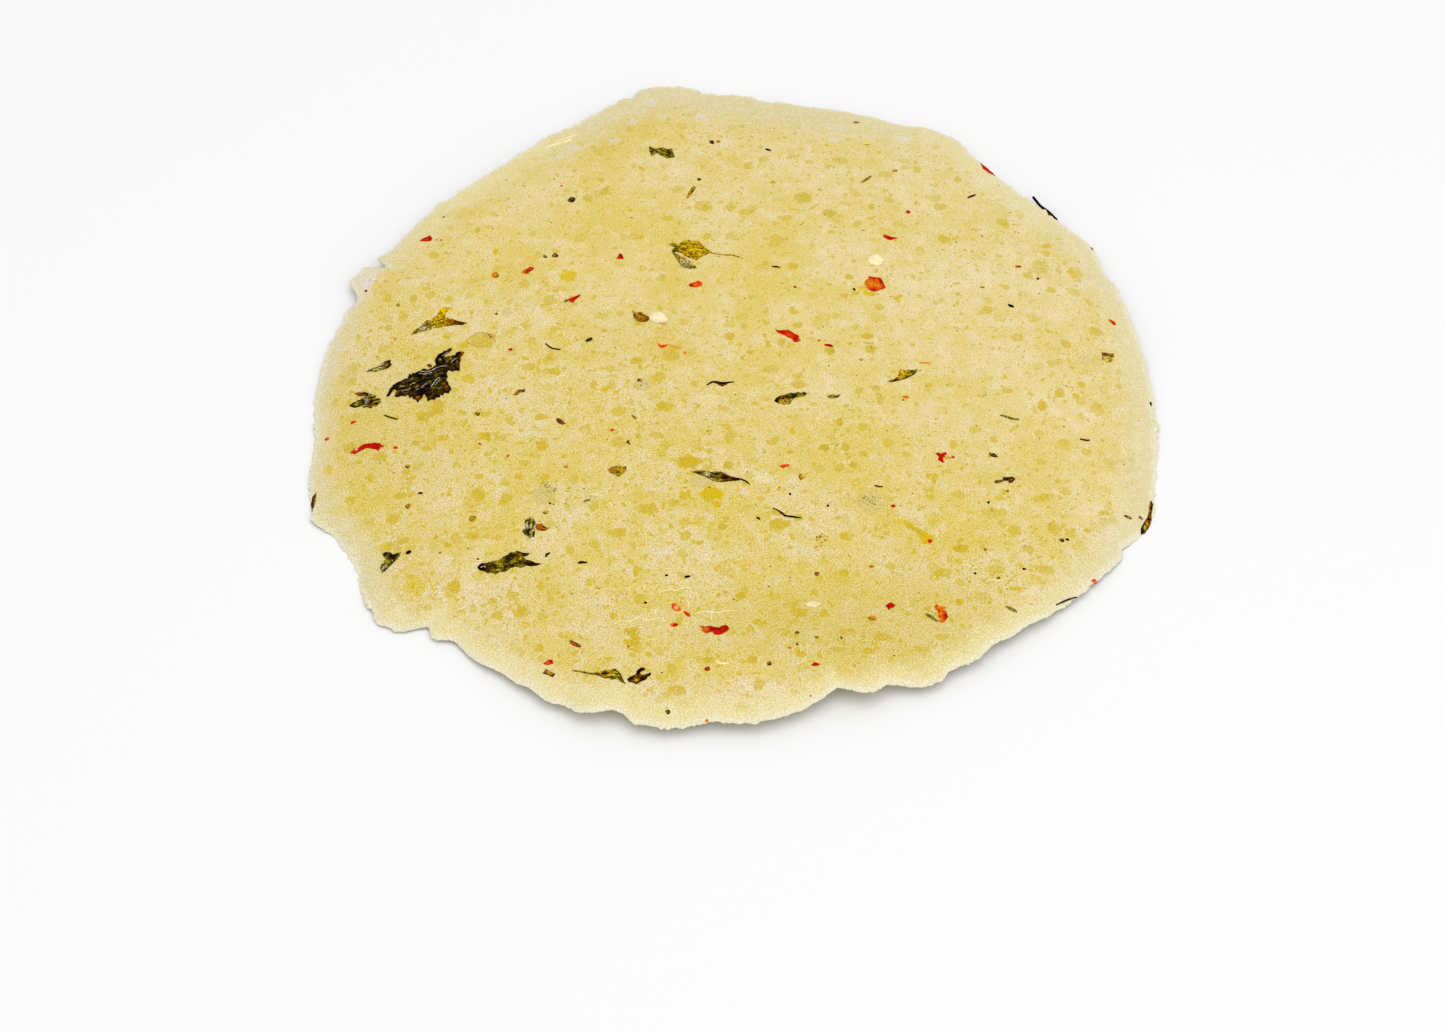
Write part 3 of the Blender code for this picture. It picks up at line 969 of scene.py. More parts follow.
        (366, 396.4), (368.4, 396.6), (370.4, 394), (373.4, 395.6), (375.7, 396.2), (375.4, 398.7),
        (380.3, 398.9), (379.6, 400.6), (381, 402.2), (378, 404), (376, 406.4), (373, 405.6),
        (370.8, 408.5), (367.4, 406.6), (364, 407.6), (361, 405.8), (357.4, 407), (354.3, 407.6)),
        (BLACK, DARK_GREEN, OLIVE, DUSTY, BROWN, OLIVE, DARK_GREEN), 0.00022,
        (Dab((351.6, 405.6), 0.5, BLACK), Dab((357, 404), 0.5, OLIVE), Dab((365.6, 401.6), 0.6, ASH),
        Dab((370.6, 402.4), 0.8, BLACK), Dab((372.6, 396.6), 0.5, OLIVE), Dab((378, 402), 0.5, OLIVE))),
    Flake(((354.8, 393.6), (358, 392.6), (361.4, 392.8), (364.6, 392.4), (368.6, 393.4), (368, 396),
        (364, 395.4), (360.6, 396.3), (357.4, 395.1)), (RUST, RUST, BROWN, BLACK), 0.00012),
    # The long grey leaf with a stalk, in front of the middle
    Flake(((690.6, 471.9), (698.4, 471.1), (703, 470.6), (706, 471.3), (710.6, 472.4), (716, 472),
        (721.3, 472), (725.2, 474.3), (729.7, 476.3), (735.1, 477.8), (740.5, 478.4), (738.9, 480.3),
        (735.1, 480.5), (729, 480.9), (722.9, 481.8), (716.7, 481.4), (712.9, 480.5), (709.1, 478.6),
        (705.3, 476.3), (699.9, 474.5), (695.3, 472.7)), (OLIVE, OLIVE, DUSTY, OLIVE, BROWN, BROWN, BLACK),
        0.00018, (Dab((707, 474.4), 0.6, DUSTY), Dab((700, 471.8), 0.4, OLIVE),
        Dab((711.6, 476), 0.4, DARK_GREEN), Dab((717, 474), 0.4, BLACK), Dab((721, 479.4), 0.4, AMBER),
        Dab((725, 477), 0.4, BLACK), Dab((733, 479.2), 0.5, BLACK))),
    # The mottled black and gold leaf in the middle
    Flake(((774.6, 401.1), (776.1, 398.6), (779, 396.6), (781.2, 395.5), (784.6, 395.6), (786.3, 394.3),
        (791.4, 393), (794, 393.8), (797.6, 392.4), (801, 393.2), (803.7, 392.2), (806.7, 393.4),
        (805.2, 395.4), (802.7, 396), (799.6, 396.2), (797.6, 397), (794.5, 397.6), (790.9, 400.6),
        (790.6, 402.4), (788.9, 404.4), (786.8, 403.2), (784.4, 404.6), (782.2, 403.6), (778.2, 403)),
        (BLACK, BROWN, OLIVE, BLACK, OLIVE, OLIVE), 0.00022, (Dab((780.6, 402.4), 0.55, GOLDEN),
        Dab((786.4, 402.6), 0.4, AMBER), Dab((787, 397), 0.6, BLACK), Dab((790.6, 399.6), 0.35, AMBER),
        Dab((798.6, 394.8), 0.5, OLIVE), Dab((777.4, 399.6), 0.5, BLACK),
        Dab((804, 394), 0.4, DARK_GREEN))),
    Flake(((827.4, 396.5), (831.2, 395.3), (833.6, 395), (835.3, 395.8), (840.5, 394.6), (837.8, 397),
        (833.8, 398.2), (829.7, 397.7)), (DARK_GREEN, OLIVE, DARK_GREEN), 0.00014),
    Flake(((887.9, 381.7), (890.4, 380), (894.4, 379.6), (897.6, 377.1), (899.4, 374), (899.1, 371),
        (901.6, 369.5), (903.7, 371), (907.8, 370), (912, 370.6), (917.4, 369.6), (915.9, 372.6),
        (913.6, 374.4), (910.8, 376.1), (904.7, 378.7), (899.6, 380.2), (892.4, 381.8)),
        (OLIVE, GOLDEN, AMBER, OLIVE, OLIVE), 0.00016, (Dab((893, 381), 0.5, BROWN),
        Dab((903, 374.6), 0.6, GOLDEN), Dab((906, 378), 0.4, BROWN), Dab((913, 371.6), 0.5, DARK_GREEN))),
    # The small leaf by the near left rim
    Flake(((382.5, 553.5), (385.6, 552.4), (389.6, 552.6), (393, 555), (396.6, 553.6), (400.6, 552.4),
        (399, 556), (397.4, 558.5), (393, 562.7), (390.6, 565), (388, 567.6), (384.6, 571), (382.1, 572.8),
        (380.4, 567.6), (383, 562.7), (387, 559.4), (384, 556.6)), (DUSTY, OLIVE, BLACK, DARK_GREEN, OLIVE),
        0.00022, (Dab((391, 556.6), 0.7, BLACK), Dab((386, 554), 0.5, BLACK), Dab((384, 567.6), 0.7, DUSTY),
        Dab((389.4, 562), 0.5, OLIVE))),
    # The speckled grey leaf, half under the dough, and the amber bit that it holds
    Flake(((525.2, 521.2), (527.8, 518.9), (530.8, 517.6), (533.4, 519.6), (535, 522.4), (536.9, 524.5),
        (535, 528.6), (534.4, 532.7), (534.4, 537.1), (531.8, 536.4), (530, 538.4), (527.8, 535.7),
        (524.4, 534), (522.3, 530.8), (526, 528.4), (525.3, 524.5)), (OLIVE, DUSTY, OLIVE, ASH), 0.00014,
        (Dab((527.6, 520.6), 0.3, BLACK), Dab((531.6, 522.4), 0.25, BLACK), Dab((526, 530.6), 0.3, BLACK),
        Dab((530.4, 530), 0.25, BLACK), Dab((529.4, 535), 0.25, BLACK), Dab((533.4, 527), 0.4, ASH))),
    Flake(((535.8, 526.3), (537.4, 524.8), (539.5, 524.6), (541.4, 523.8), (543.6, 525.5), (545, 527.4),
        (548.2, 528.5), (544.6, 530.6), (541, 530.4), (538.6, 530.2), (536.7, 528.6)),
        (BLACK, RUST, AMBER, RUST), 0.00016, (Dab((539.6, 528.4), 0.35, RED),
        Dab((541.4, 525.6), 0.35, AMBER))),
    Flake(((513.6, 394.4), (516.4, 392), (518.9, 389.8), (521.6, 390), (525, 389), (524.4, 391.9),
        (519.9, 392.4), (517.6, 394), (515.6, 395.4)), (OLIVE, RUST, OLIVE, BROWN), 0.00012),
    # At the right rim
    Flake(((1151, 500.6), (1152.8, 504), (1152, 510), (1151, 515), (1151.4, 519), (1150, 524),
        (1147.6, 529), (1143.6, 533.4), (1141, 534.4), (1141, 529), (1144, 523.4), (1147.6, 518),
        (1149.2, 512), (1149.6, 506)), (BROWN, BLACK, RUST, BROWN), 0.00022,
        (Dab((1151.4, 503), 0.4, BLACK), Dab((1150.4, 511), 0.5, AMBER), Dab((1150, 520), 0.4, BLACK),
        Dab((1147.4, 524), 0.35, AMBER), Dab((1144.8, 528.6), 0.4, HONEY), Dab((1142, 532.4), 0.6, BLACK),
        Dab((1147.6, 528.6), 0.4, BLACK))),
    # At the left rim
    Flake(((311.6, 509), (311.2, 503.4), (312.8, 497), (316.2, 492.7), (315.6, 500), (313.8, 507)),
        (BLACK, BROWN, AMBER), 0.0001, (Dab((312, 506.4), 0.5, BLACK), Dab((315.4, 495), 0.3, BROWN))),
)

HERB_BITS = (
    Bit((572, 200), 1.6, 1.7, (OLIVE, DARK_GREEN, OLIVE), 20.0),
    Bit((408.6, 552.2), 1.1, 0.8, (BLACK,), 15.0), Bit((477, 414), 1.2, 0.8, (OLIVE, DARK_GREEN), -15.0),
    Bit((398, 305), 0.7, 0.7, (OLIVE,)), Bit((668.4, 712.3), 0.9, 1.2, (GREEN, DARK_GREEN), 30.0),
    Bit((1010.5, 305.5), 1.7, 0.9, (BLACK, DARK_GREEN), -25.0), Bit((545, 256.6), 0.8, 1.1, (OLIVE,), 40.0),
    Bit((555.4, 255.3), 1.3, 1.4, (OLIVE, BLACK), 40.0),
    Bit((993.5, 455.4), 1.7, 0.9, (GREEN, DARK_GREEN), -30.0), Bit((420.2, 493), 1.0, 0.7, (DARK_GREEN,)),
    Bit((407.8, 466.5), 1.1, 0.9, (OLIVE,)), Bit((853.8, 289.2), 0.6, 0.8, (OLIVE, BROWN)),
    Bit((790.2, 494), 0.5, 0.6, (BLACK,)), Bit((828, 505.5), 0.5, 0.6, (BLACK,)),
    Bit((666.6, 575.3), 0.6, 0.5, (BLACK,)), Bit((645.5, 602.9), 0.7, 0.5, (BLACK,)),
    Bit((1038, 278.7), 0.6, 0.7, (DARK_GREEN,)), Bit((988.4, 502.3), 0.5, 0.6, (BLACK,)),
    Bit((1024.3, 569.1), 0.9, 0.6, (BLACK,), 10.0), Bit((797.2, 632.7), 0.7, 0.7, (OLIVE,)),
    Bit((816.4, 637), 0.6, 0.5, (OLIVE,)), Bit((841.4, 637.8), 0.5, 0.5, (OLIVE,)),
    Bit((797.2, 644.2), 0.5, 0.5, (OLIVE,)), Bit((769.2, 663.3), 0.9, 1.1, (OLIVE, BROWN)),
    Bit((550.2, 503.6), 0.5, 0.5, (DARK_GREEN,)), Bit((553.5, 504.6), 0.4, 0.4, (DARK_GREEN,)),
    Bit((639.6, 380), 0.9, 0.9, (OLIVE,)), Bit((444, 217), 0.4, 0.5, (BLACK,)),
    Bit((478, 559), 0.4, 0.4, (DARK_GREEN,)), Bit((1067.3, 539.5), 0.7, 0.5, (DARK_GREEN,)),
    Bit((1092.4, 247.8), 0.7, 0.9, (OLIVE,)), Bit((496.5, 313.8), 0.5, 0.6, (DARK_GREEN,)),
    Bit((1127.8, 517), 1.7, 0.7, (OLIVE,), -15.0), Bit((1151, 404), 0.5, 1.2, (DARK_GREEN,)),
)

# Painted highlights on the leaves: thin grey threads along the crests, where they catch the light
PAINTED_GLINTS = (
    Thread(((419, 374.8), (425, 375.6), (432, 373.8)), 0.2, GLINT),
    Thread(((421, 372.8), (427, 373.2), (433, 371.4), (437, 368.8)), 0.22, GLINT),
    Thread(((437, 369.6), (441, 367.8), (446, 367.6)), 0.2, GLINT),
    Thread(((431, 388.6), (434, 384.4), (437, 380.8), (440.4, 378.8)), 0.2, GLINT),
    Thread(((435, 387), (438, 383), (441, 380.6)), 0.14, GLINT),
    Thread(((421, 389.4), (424, 386.8), (426.6, 385)), 0.16, GLINT),
    Thread(((410, 386.4), (413.6, 384.6), (417, 384.4)), 0.14, GLINT),
    Thread(((399, 389), (402.6, 387.6), (405, 387.8)), 0.14, GLINT),
    Thread(((402, 392.6), (406, 391.4), (409, 391.8)), 0.12, GLINT),
    Thread(((415.4, 391.8), (419, 390)), 0.14, GLINT),
    Thread(((442.6, 357.4), (445.4, 355.2), (449, 353.6)), 0.14, GLINT),
    Thread(((450.6, 364.8), (453.8, 361.4), (457, 359.6)), 0.12, GLINT),
    Thread(((480.4, 569), (483, 568), (486, 568.4)), 0.24, GLINT),
    Thread(((379.6, 367.8), (383, 366), (386, 365)), 0.12, GLINT),
)

HERB_THREADS = (
    Thread(((706.6, 385.4), (712, 382.2), (717, 382.2), (722, 383.4), (728, 382.6),
        (734, 382)), 0.42, BLACK),
    Thread(((715, 382.4), (722.4, 385.6), (728, 383)), 0.34, BROWN),
    Thread(((711, 253), (722, 254.8), (733, 255.4), (743, 258.4)), 0.28, GOLDEN),
    Thread(((739.5, 479), (745, 480.8), (749.4, 484.4)), 0.34, DARK_GREEN),
    Thread(((773, 508.2), (779, 511), (785.2, 515.8), (791, 516.6), (801, 518)), 0.36, BLACK),
    Thread(((756.9, 517.2), (760, 519.6)), 0.38, BLACK),
    Thread(((545.4, 557), (547.4, 554.6), (549.8, 552.8)), 0.34, BLACK),
    Thread(((545.6, 553.6), (547.4, 554.6)), 0.3, BLACK),
    Thread(((578, 563.2), (582, 562.4), (587, 562.6)), 0.46, BLACK),
    Thread(((684.6, 577.2), (690.2, 576.2)), 0.42, BLACK),
    Thread(((765.6, 149), (768, 150), (771.2, 150.6)), 0.42, BLACK),
    Thread(((384, 415.2), (390, 417.4), (397.4, 419.4)), 0.34, DARK_GREEN),
    Thread(((545.4, 343.6), (549.6, 347), (554, 348.8), (560.6, 349.6)), 0.36, DARK_GREEN),
    Thread(((1000.4, 415.2), (1006, 416.8), (1012, 418.8), (1019, 419.6)), 0.44, OLIVE),
    Thread(((1080, 439), (1086, 440.4), (1090, 440.2)), 0.34, DARK_GREEN),
    Thread(((874.5, 485.4), (878.4, 486.8), (882.6, 486.6)), 0.34, BROWN),
    Thread(((632, 415.2), (636, 419)), 0.4, OLIVE), Thread(((627, 441), (630, 444.6)), 0.36, RUST),
    Thread(((772, 266.4), (780, 267.4)), 0.4, BLACK),
    Thread(((861.4, 182.6), (866, 180), (871, 176.2)), 0.44, OLIVE),
    Thread(((967.6, 198), (971.6, 196.4), (975.6, 194.8)), 0.42, DARK_GREEN),
    Thread(((1006, 606.4), (1011, 609), (1017, 612)), 0.52, OLIVE),
    Thread(((925.6, 614), (931, 617), (937.6, 621.4)), 0.56, OLIVE),
    Thread(((572.7, 670.6), (580, 671.6), (588, 673.2), (596, 674.6)), 0.32, OLIVE),
    Thread(((592, 338.6), (586, 341.4)), 0.8, DARK_GREEN),
    Thread(((1033.4, 194.2), (1039.6, 202), (1046, 207.6), (1051, 211.8), (1057, 217)), 0.75, BLACK),
    Thread(((1048.6, 215), (1051.4, 211.6)), 0.8, BROWN), Thread(((584, 501.2), (590, 500)), 0.4, OLIVE),
    Thread(((1056, 605), (1062, 602.4), (1069, 599.4), (1077, 597.4)), 0.36, DARK_GREEN),
    Thread(((928, 615.5), (932, 617.8), (937.4, 621)), 0.5, OLIVE),
    Thread(((564.4, 302), (566.4, 300.8), (568, 300.8)), 0.6, OLIVE),
)

# What shows faintly from just below the surface: the rim of a golden seed, and orange strands
FAINT_THREADS = (
    Thread(((466.3, 341.2), (471, 337), (476, 334), (481.8, 333), (488, 333.4), (491.6, 335)), 0.3, HONEY),
    Thread(((466.3, 341.2), (470, 344), (475, 346), (480, 346.6), (487, 345.8), (492, 344)), 0.3, HONEY),
    Thread(((491.6, 335), (493.6, 338), (495.2, 342.5)), 0.26, HONEY),
    Thread(((484.6, 334.6), (487.4, 336.4), (491, 338.4)), 0.26, FOXY),
    Thread(((487.6, 333.6), (490.6, 336.6), (492, 338)), 0.3, RUST),
    Thread(((658, 322.4), (662, 323.8), (667, 324.4)), 0.5, FOXY),
    Thread(((667.4, 344.6), (671, 345.6), (676, 347.2), (681.4, 348.4)), 0.3, FOXY),
    Thread(((878, 261), (880.4, 262.6), (881, 264.6)), 0.5, FOXY),
    Thread(((945.4, 457.8), (948, 457.4), (951, 457.6)), 0.5, FOXY),
    Thread(((909, 526), (914, 528.8), (919, 532), (924, 535.4)), 0.3, HONEY),
)

# Pale crinkles where the dough was pinched, as fine raised threads; their paleness is partly a painted
# highlight along the small ridges
CRINKLES = (
    Thread(((717, 660.6), (719.4, 663), (723.6, 663.8), (728.8, 662.6)), 0.5, CREAM),
    Thread(((719, 663), (724, 664), (728, 663.4)), 0.4, CREAM),
    Thread(((662, 592), (669, 589.4), (676, 590.6), (684, 587.4), (693, 588.4)), 0.26, CREAM),
    Thread(((695, 613.4), (706, 611.6), (718, 612.6), (728, 610.4), (737, 611.2)), 0.3, CREAM),
    Thread(((614, 624), (622, 620.6), (630, 621.4), (639, 617.6), (648, 620), (657, 618),
        (666, 620.4)), 0.26, CREAM),
    Thread(((598, 591), (607, 588.6), (617, 589.6), (626, 587)), 0.22, STRAW),
    Thread(((676, 643.6), (680, 646.4), (682, 650)), 0.24, CREAM),
    Thread(((654, 612.6), (657, 609), (661, 606.4)), 0.22, CREAM),
    Thread(((540, 507.4), (549, 505), (558, 505.8)), 0.22, STRAW),
    Thread(((577, 497), (588, 494.6), (600, 495.4), (612, 493)), 0.24, STRAW),
    Thread(((962, 566), (967, 564.8), (971, 566.6)), 0.24, CREAM),
    Thread(((985, 582), (991, 579.6), (998, 580.8), (1006, 578.4)), 0.24, CREAM),
    Thread(((1088, 507), (1094, 503.4), (1099, 502)), 0.22, CREAM),
    Thread(((556, 378), (561, 375.4), (567, 376.6)), 0.22, CREAM),
    Thread(((700, 398), (709, 395.6), (717, 398.6)), 0.26, CREAM),
    Thread(((752, 479), (760, 477), (768, 479.6)), 0.24, CREAM),
    Thread(((431, 340), (436, 336.8), (442, 336)), 0.22, STRAW),
    Thread(((492, 458), (494.6, 455), (498, 457)), 0.22, CREAM),
    Thread(((545, 148), (554, 145), (566, 141.6), (572, 139)), 0.5, CREAM),
    Thread(((555, 142.4), (566, 138.4), (577, 134.6)), 0.36, CREAM),
)

CHILLI = (
    # The curved strip at the left
    Flake(((349.7, 452.7), (352.5, 450.9), (355.1, 448.8), (358.5, 448.2), (361.1, 445.8), (366.3, 444),
        (371.5, 443.6), (375.8, 443.2), (379.2, 443.6), (381, 444.9), (384.4, 445.9), (382.7, 447.1),
        (380.3, 447.3), (379.7, 449.2), (377.5, 450.8), (376.2, 449.4), (372.3, 448.8), (368.9, 447.9),
        (366.3, 447.7), (363.7, 449.2), (360.3, 450.9), (357.7, 452.2), (355.1, 453.8), (351.6, 453.5)),
        (ORANGE_RED, RED, RED, DARK_RED, RED, RED, ORANGE_RED), 0.00016, (Dab((351, 452.8), 0.35, ORANGE),
        Dab((356.6, 449.8), 0.22, CREAM), Dab((376, 446.4), 0.7, DARK_RED),
        Dab((383.4, 446.3), 0.3, ORANGE))),
    Flake(((688.9, 284.5), (691.9, 283.4), (696.3, 281.9), (698.8, 280.8), (702.3, 283.6), (700.6, 285.8),
        (696.3, 287), (691.9, 286.9), (689.8, 286.2)), (RED, ORANGE_RED, ORANGE_RED, ORANGE_RED), 0.00012,
        (Dab((690, 285.4), 0.3, RED), Dab((695, 284.8), 0.3, ORANGE))),
    Flake(((885.4, 606), (888, 604), (891.6, 602.6), (893.4, 604.4), (895.4, 605), (893, 607.6),
        (890.6, 608), (888.6, 610), (887.6, 607.6)), (RED, DARK_RED, RED)),
    # The split flake near the right front
    Flake(((934.9, 606.5), (937, 604.7), (939.2, 606), (941.8, 607.3), (946.1, 607.1), (945.2, 608.6),
        (941.8, 609.1), (941.8, 610.4), (945.7, 610.8), (946.5, 613.4), (947.8, 616.8), (946.1, 619.4),
        (943.5, 622), (940.1, 622.4), (938.8, 621.1), (940.5, 619), (938.8, 616.8), (939.2, 613.4),
        (937.9, 610.8), (935.8, 609.1)), (ORANGE_RED, ORANGE, ORANGE_RED, ORANGE_RED), 0.00018,
        (Dab((939.8, 611.8), 0.3, DARK_RED), Dab((936, 606.6), 0.3, RED), Dab((943.4, 614.4), 0.4, ORANGE),
        Dab((940.2, 616.8), 0.3, DARK_RED), Dab((945.6, 616), 0.4, RED), Dab((941.6, 620.6), 0.4, ORANGE),
        Dab((944.8, 607.8), 0.3, ORANGE))),
    Flake(((543.4, 663.3), (546, 662), (548.5, 660), (552.4, 660.1), (553, 663.3), (550.7, 664.2),
        (547.7, 664.9), (545.1, 664.4)), (RED, ORANGE_RED, RED, RED), 0.0001,
        (Dab((548, 663.6), 0.3, ORANGE),)),
    # The long flake near the front, orange at its frayed end
    Flake(((699, 626.4), (702.4, 626.2), (705, 627.1), (708.5, 626.6), (711.1, 626.6), (715.4, 627.5),
        (719.7, 627.9), (721.4, 626.2), (724.9, 625.6), (727.5, 626.2), (729, 628.8), (727.5, 630.5),
        (724.9, 632.2), (721.4, 634), (717.5, 634.8), (714.5, 634), (712.4, 631.4), (710.2, 631.8),
        (706.8, 633.1), (703.3, 631.8), (700.7, 630.1), (703.4, 628.9)),
        (ORANGE, ORANGE_RED, DARK_RED, RED, RED, DARK_RED), 0.0002, (Dab((703, 627), 0.3, RED),
        Dab((706.4, 629.6), 0.4, ORANGE), Dab((702.4, 630.4), 0.4, ORANGE),
        Dab((722.3, 629.4), 0.2, ORANGE_RED), Dab((713.6, 629.6), 0.5, DARK_RED))),
    Flake(((670.1, 624), (672.7, 623.6), (676.6, 623.4), (677.9, 624.5), (676.1, 626.2), (673.5, 626.6),
        (670.9, 625.8)), (ORANGE, RED, DARK_RED), 0.0001, (Dab((671.8, 624.6), 0.2, ORANGE),)),
    # The orange smear behind it, broken into grains
    Flake(((671.8, 603.8), (674.4, 603.3), (676.6, 605.5), (680, 607.2), (680.9, 610.7), (678.3, 612),
        (674.8, 610.2), (672.2, 608.1)), (ORANGE_RED, ORANGE, ORANGE), 0.00012,
        (Dab((673.8, 605.2), 0.3, ORANGE_RED), Dab((676, 608), 0.3, STRAW),
        Dab((679, 609.6), 0.3, ORANGE_RED))),
    Flake(((683, 612.2), (685.2, 611.1), (688.6, 613.3), (690.8, 616.3), (687.8, 616.4), (685.4, 614.2)),
        (ORANGE, ORANGE_RED, ORANGE_RED)),
    # The bright flake behind the middle
    Flake(((775.3, 329.3), (778.4, 330.6), (782.7, 330.4), (787.8, 330), (791.3, 331.9), (794.7, 334.1),
        (798.2, 335.5), (799.2, 337.1), (798.2, 338.4), (800.8, 339.9), (799.1, 341.4), (795.6, 342.1),
        (793, 341), (792.6, 339), (788.7, 337.3), (785.3, 335.4), (781.8, 334.1), (777.5, 332.3)),
        (ORANGE_RED, RED, RED, ORANGE_RED, RED, ORANGE_RED), 0.00016, (Dab((787, 331.4), 0.4, ORANGE_RED),
        Dab((796, 337.6), 0.4, DARK_RED), Dab((799.6, 340.6), 0.35, ORANGE),
        Dab((784, 333.8), 0.4, DARK_RED))),
    Flake(((824.1, 344), (826.7, 344.4), (829.3, 344.2), (831.9, 345.3), (833.4, 346.6), (831.4, 347),
        (828.4, 346.4), (825.8, 345.9)), (RED, DARK_RED, DARK_RED)),
    # The big chip, orange with a redder edge
    Flake(((868.8, 276.4), (871.8, 277.1), (877, 277.8), (880, 278.1), (881.7, 279.6), (883, 282.7),
        (884.3, 285.3), (885.4, 287.8), (883, 289.1), (879.6, 289.6), (877, 291.3), (873.5, 291.3),
        (870.1, 290.4), (867.1, 287.8), (865.3, 285.3), (864.9, 282.2), (866.6, 280.1), (868.8, 278.8)),
        (ORANGE, ORANGE_RED, ORANGE_RED, ORANGE_RED), 0.00022, (Dab((872, 284), 1.1, ORANGE),
        Dab((878, 286), 0.8, ORANGE), Dab((870, 277.4), 0.5, RED), Dab((875.2, 278.4), 0.4, RED),
        Dab((880.4, 279.6), 0.45, RED), Dab((882.4, 283.5), 0.4, RED), Dab((884, 287.4), 0.55, DARK_RED),
        Dab((874.6, 290.6), 0.45, DARK_RED), Dab((871, 289.8), 0.45, RED))),
    Flake(((656.4, 342.8), (658.6, 343.8), (661.4, 345.6), (664.4, 345.2), (667.6, 344.4), (666, 346.6),
        (662.8, 347.8), (659.6, 347)), (ORANGE, ORANGE_RED, ORANGE)),
    Flake(((522, 273), (522.9, 270.9), (526.7, 269.2), (530.2, 267), (534.1, 267.9), (532.8, 270),
        (529.3, 271.7), (525.9, 273.9)), (ORANGE, ORANGE_RED, ORANGE_RED, RED)),
    Flake(((568.1, 299.5), (571.5, 297.7), (575.8, 296.5), (579.7, 294.6), (580.3, 295.6), (577.6, 297.7),
        (574.6, 300.3), (572.4, 302.7), (569.8, 301.6)), (ORANGE_RED, RED, RED)),
    Flake(((419.5, 240.8), (423.4, 238.5), (426.8, 237.2), (429.9, 235.4), (432, 238.5), (430.7, 241),
        (426.8, 241.3), (422.5, 241.3)), (ORANGE_RED, RED, RED, DARK_RED), 0.0001,
        (Dab((427, 239.8), 0.3, ORANGE_RED),)),
    Flake(((883.3, 236.7), (884.6, 234.6), (887.6, 235.9), (891, 237.2), (895.4, 237.6), (898.4, 238),
        (893.6, 239), (890.2, 240), (886.7, 238.9)), (RED, RED, RED, ORANGE_RED)),
    Flake(((616.2, 258.6), (618.4, 256.5), (619.2, 253.9), (621.4, 254), (622.7, 256.5), (623.6, 259),
        (619.7, 258.9)), (ORANGE_RED, RED, RED)),
    # The star-shaped crumb at the right, and the yellow streak to its tail
    Flake(((936, 453.3), (938.2, 452.9), (941.2, 454.2), (943.8, 452.7), (946.4, 452.6), (946.6, 454.2),
        (944.2, 455.5), (944.7, 456.8), (942.9, 457.6), (942.9, 459.8), (944, 462.4), (942.1, 462.6),
        (940.4, 461.1), (938.2, 459.8), (939.1, 456.8), (937.3, 455)), (RED, RED, RED, ORANGE_RED), 0.00018,
        (Dab((937, 454), 0.3, DARK_RED), Dab((944.6, 454), 0.3, DARK_RED),
        Dab((942.6, 461.6), 0.3, DARK_RED))),
    Flake(((951, 457.6), (953, 456.4), (954.8, 457), (953, 458.2)), (RED, BROWN)),
    Flake(((1108.6, 319), (1110.8, 319.9), (1114.2, 322), (1115.7, 324.2), (1114.2, 325.3), (1111.6, 323.3),
        (1109.1, 320.9)), (ORANGE, ORANGE_RED, RED)),
    Flake(((980.4, 162.6), (985.4, 164.8), (991.4, 168.8), (996, 173.8), (990, 173.4), (983, 168.6)),
        (DARK_RED, RED, DARK_RED)),
)

CHILLI_BITS = (
    Bit((395.9, 447.9), 1.0, 0.7, (RED, ORANGE_RED), -10.0),
    Bit((326.6, 439.2), 1.0, 0.7, (ORANGE_RED,), 20.0), Bit((353, 422.4), 1.2, 0.8, (ORANGE_RED,), 25.0),
    Bit((510.3, 349.8), 0.9, 0.8, (RED,), 5.0), Bit((441.5, 240), 0.6, 0.4, (RED,)),
    Bit((436.3, 240), 0.4, 0.3, (RUST,)), Bit((480, 444), 0.4, 0.7, (RED,), 60.0),
    Bit((508, 456), 0.6, 0.5, (ORANGE_RED,)), Bit((685, 352.8), 0.5, 0.7, (ORANGE,)),
    Bit((818.9, 340.6), 0.6, 0.6, (ORANGE_RED,), -30.0),
    Bit((784.4, 466), 2.0, 0.9, (ORANGE_RED, ORANGE_RED), 5.0), Bit((893.4, 506), 1.0, 0.7, (RED,)),
    Bit((930.2, 541.4), 0.9, 0.9, (RED, DARK_RED), -15.0), Bit((815.4, 664.6), 1.7, 0.9, (RED, DARK_RED)),
    Bit((707.4, 668.4), 1.2, 1.0, (DARK_RED, RUST), 15.0), Bit((789.6, 648), 0.8, 0.6, (ORANGE,)),
    Bit((706.7, 721), 0.6, 0.5, (ORANGE,)), Bit((908.2, 212.2), 1.4, 1.1, (RED,)),
    Bit((1018.2, 266.5), 1.5, 0.8, (ORANGE_RED,)), Bit((982.2, 236.2), 0.7, 0.5, (ORANGE,)),
    Bit((795, 287), 0.7, 0.6, (ORANGE_RED,)), Bit((925, 363), 2.4, 0.4, (ORANGE,)),
    Bit((906, 397), 1.2, 0.8, (ORANGE,)), Bit((871.2, 566.4), 1.1, 0.6, (ORANGE,)),
    Bit((395.4, 339.2), 0.5, 0.5, (ORANGE_RED,)), Bit((561.3, 186), 0.5, 0.5, (ORANGE_RED,)),
    Bit((718.4, 141.4), 1.0, 1.2, (AMBER,)), Bit((612, 430), 1.0, 0.7, (ORANGE_RED,)),
    Bit((1094, 581), 1.0, 0.7, (ORANGE_RED,)),
)

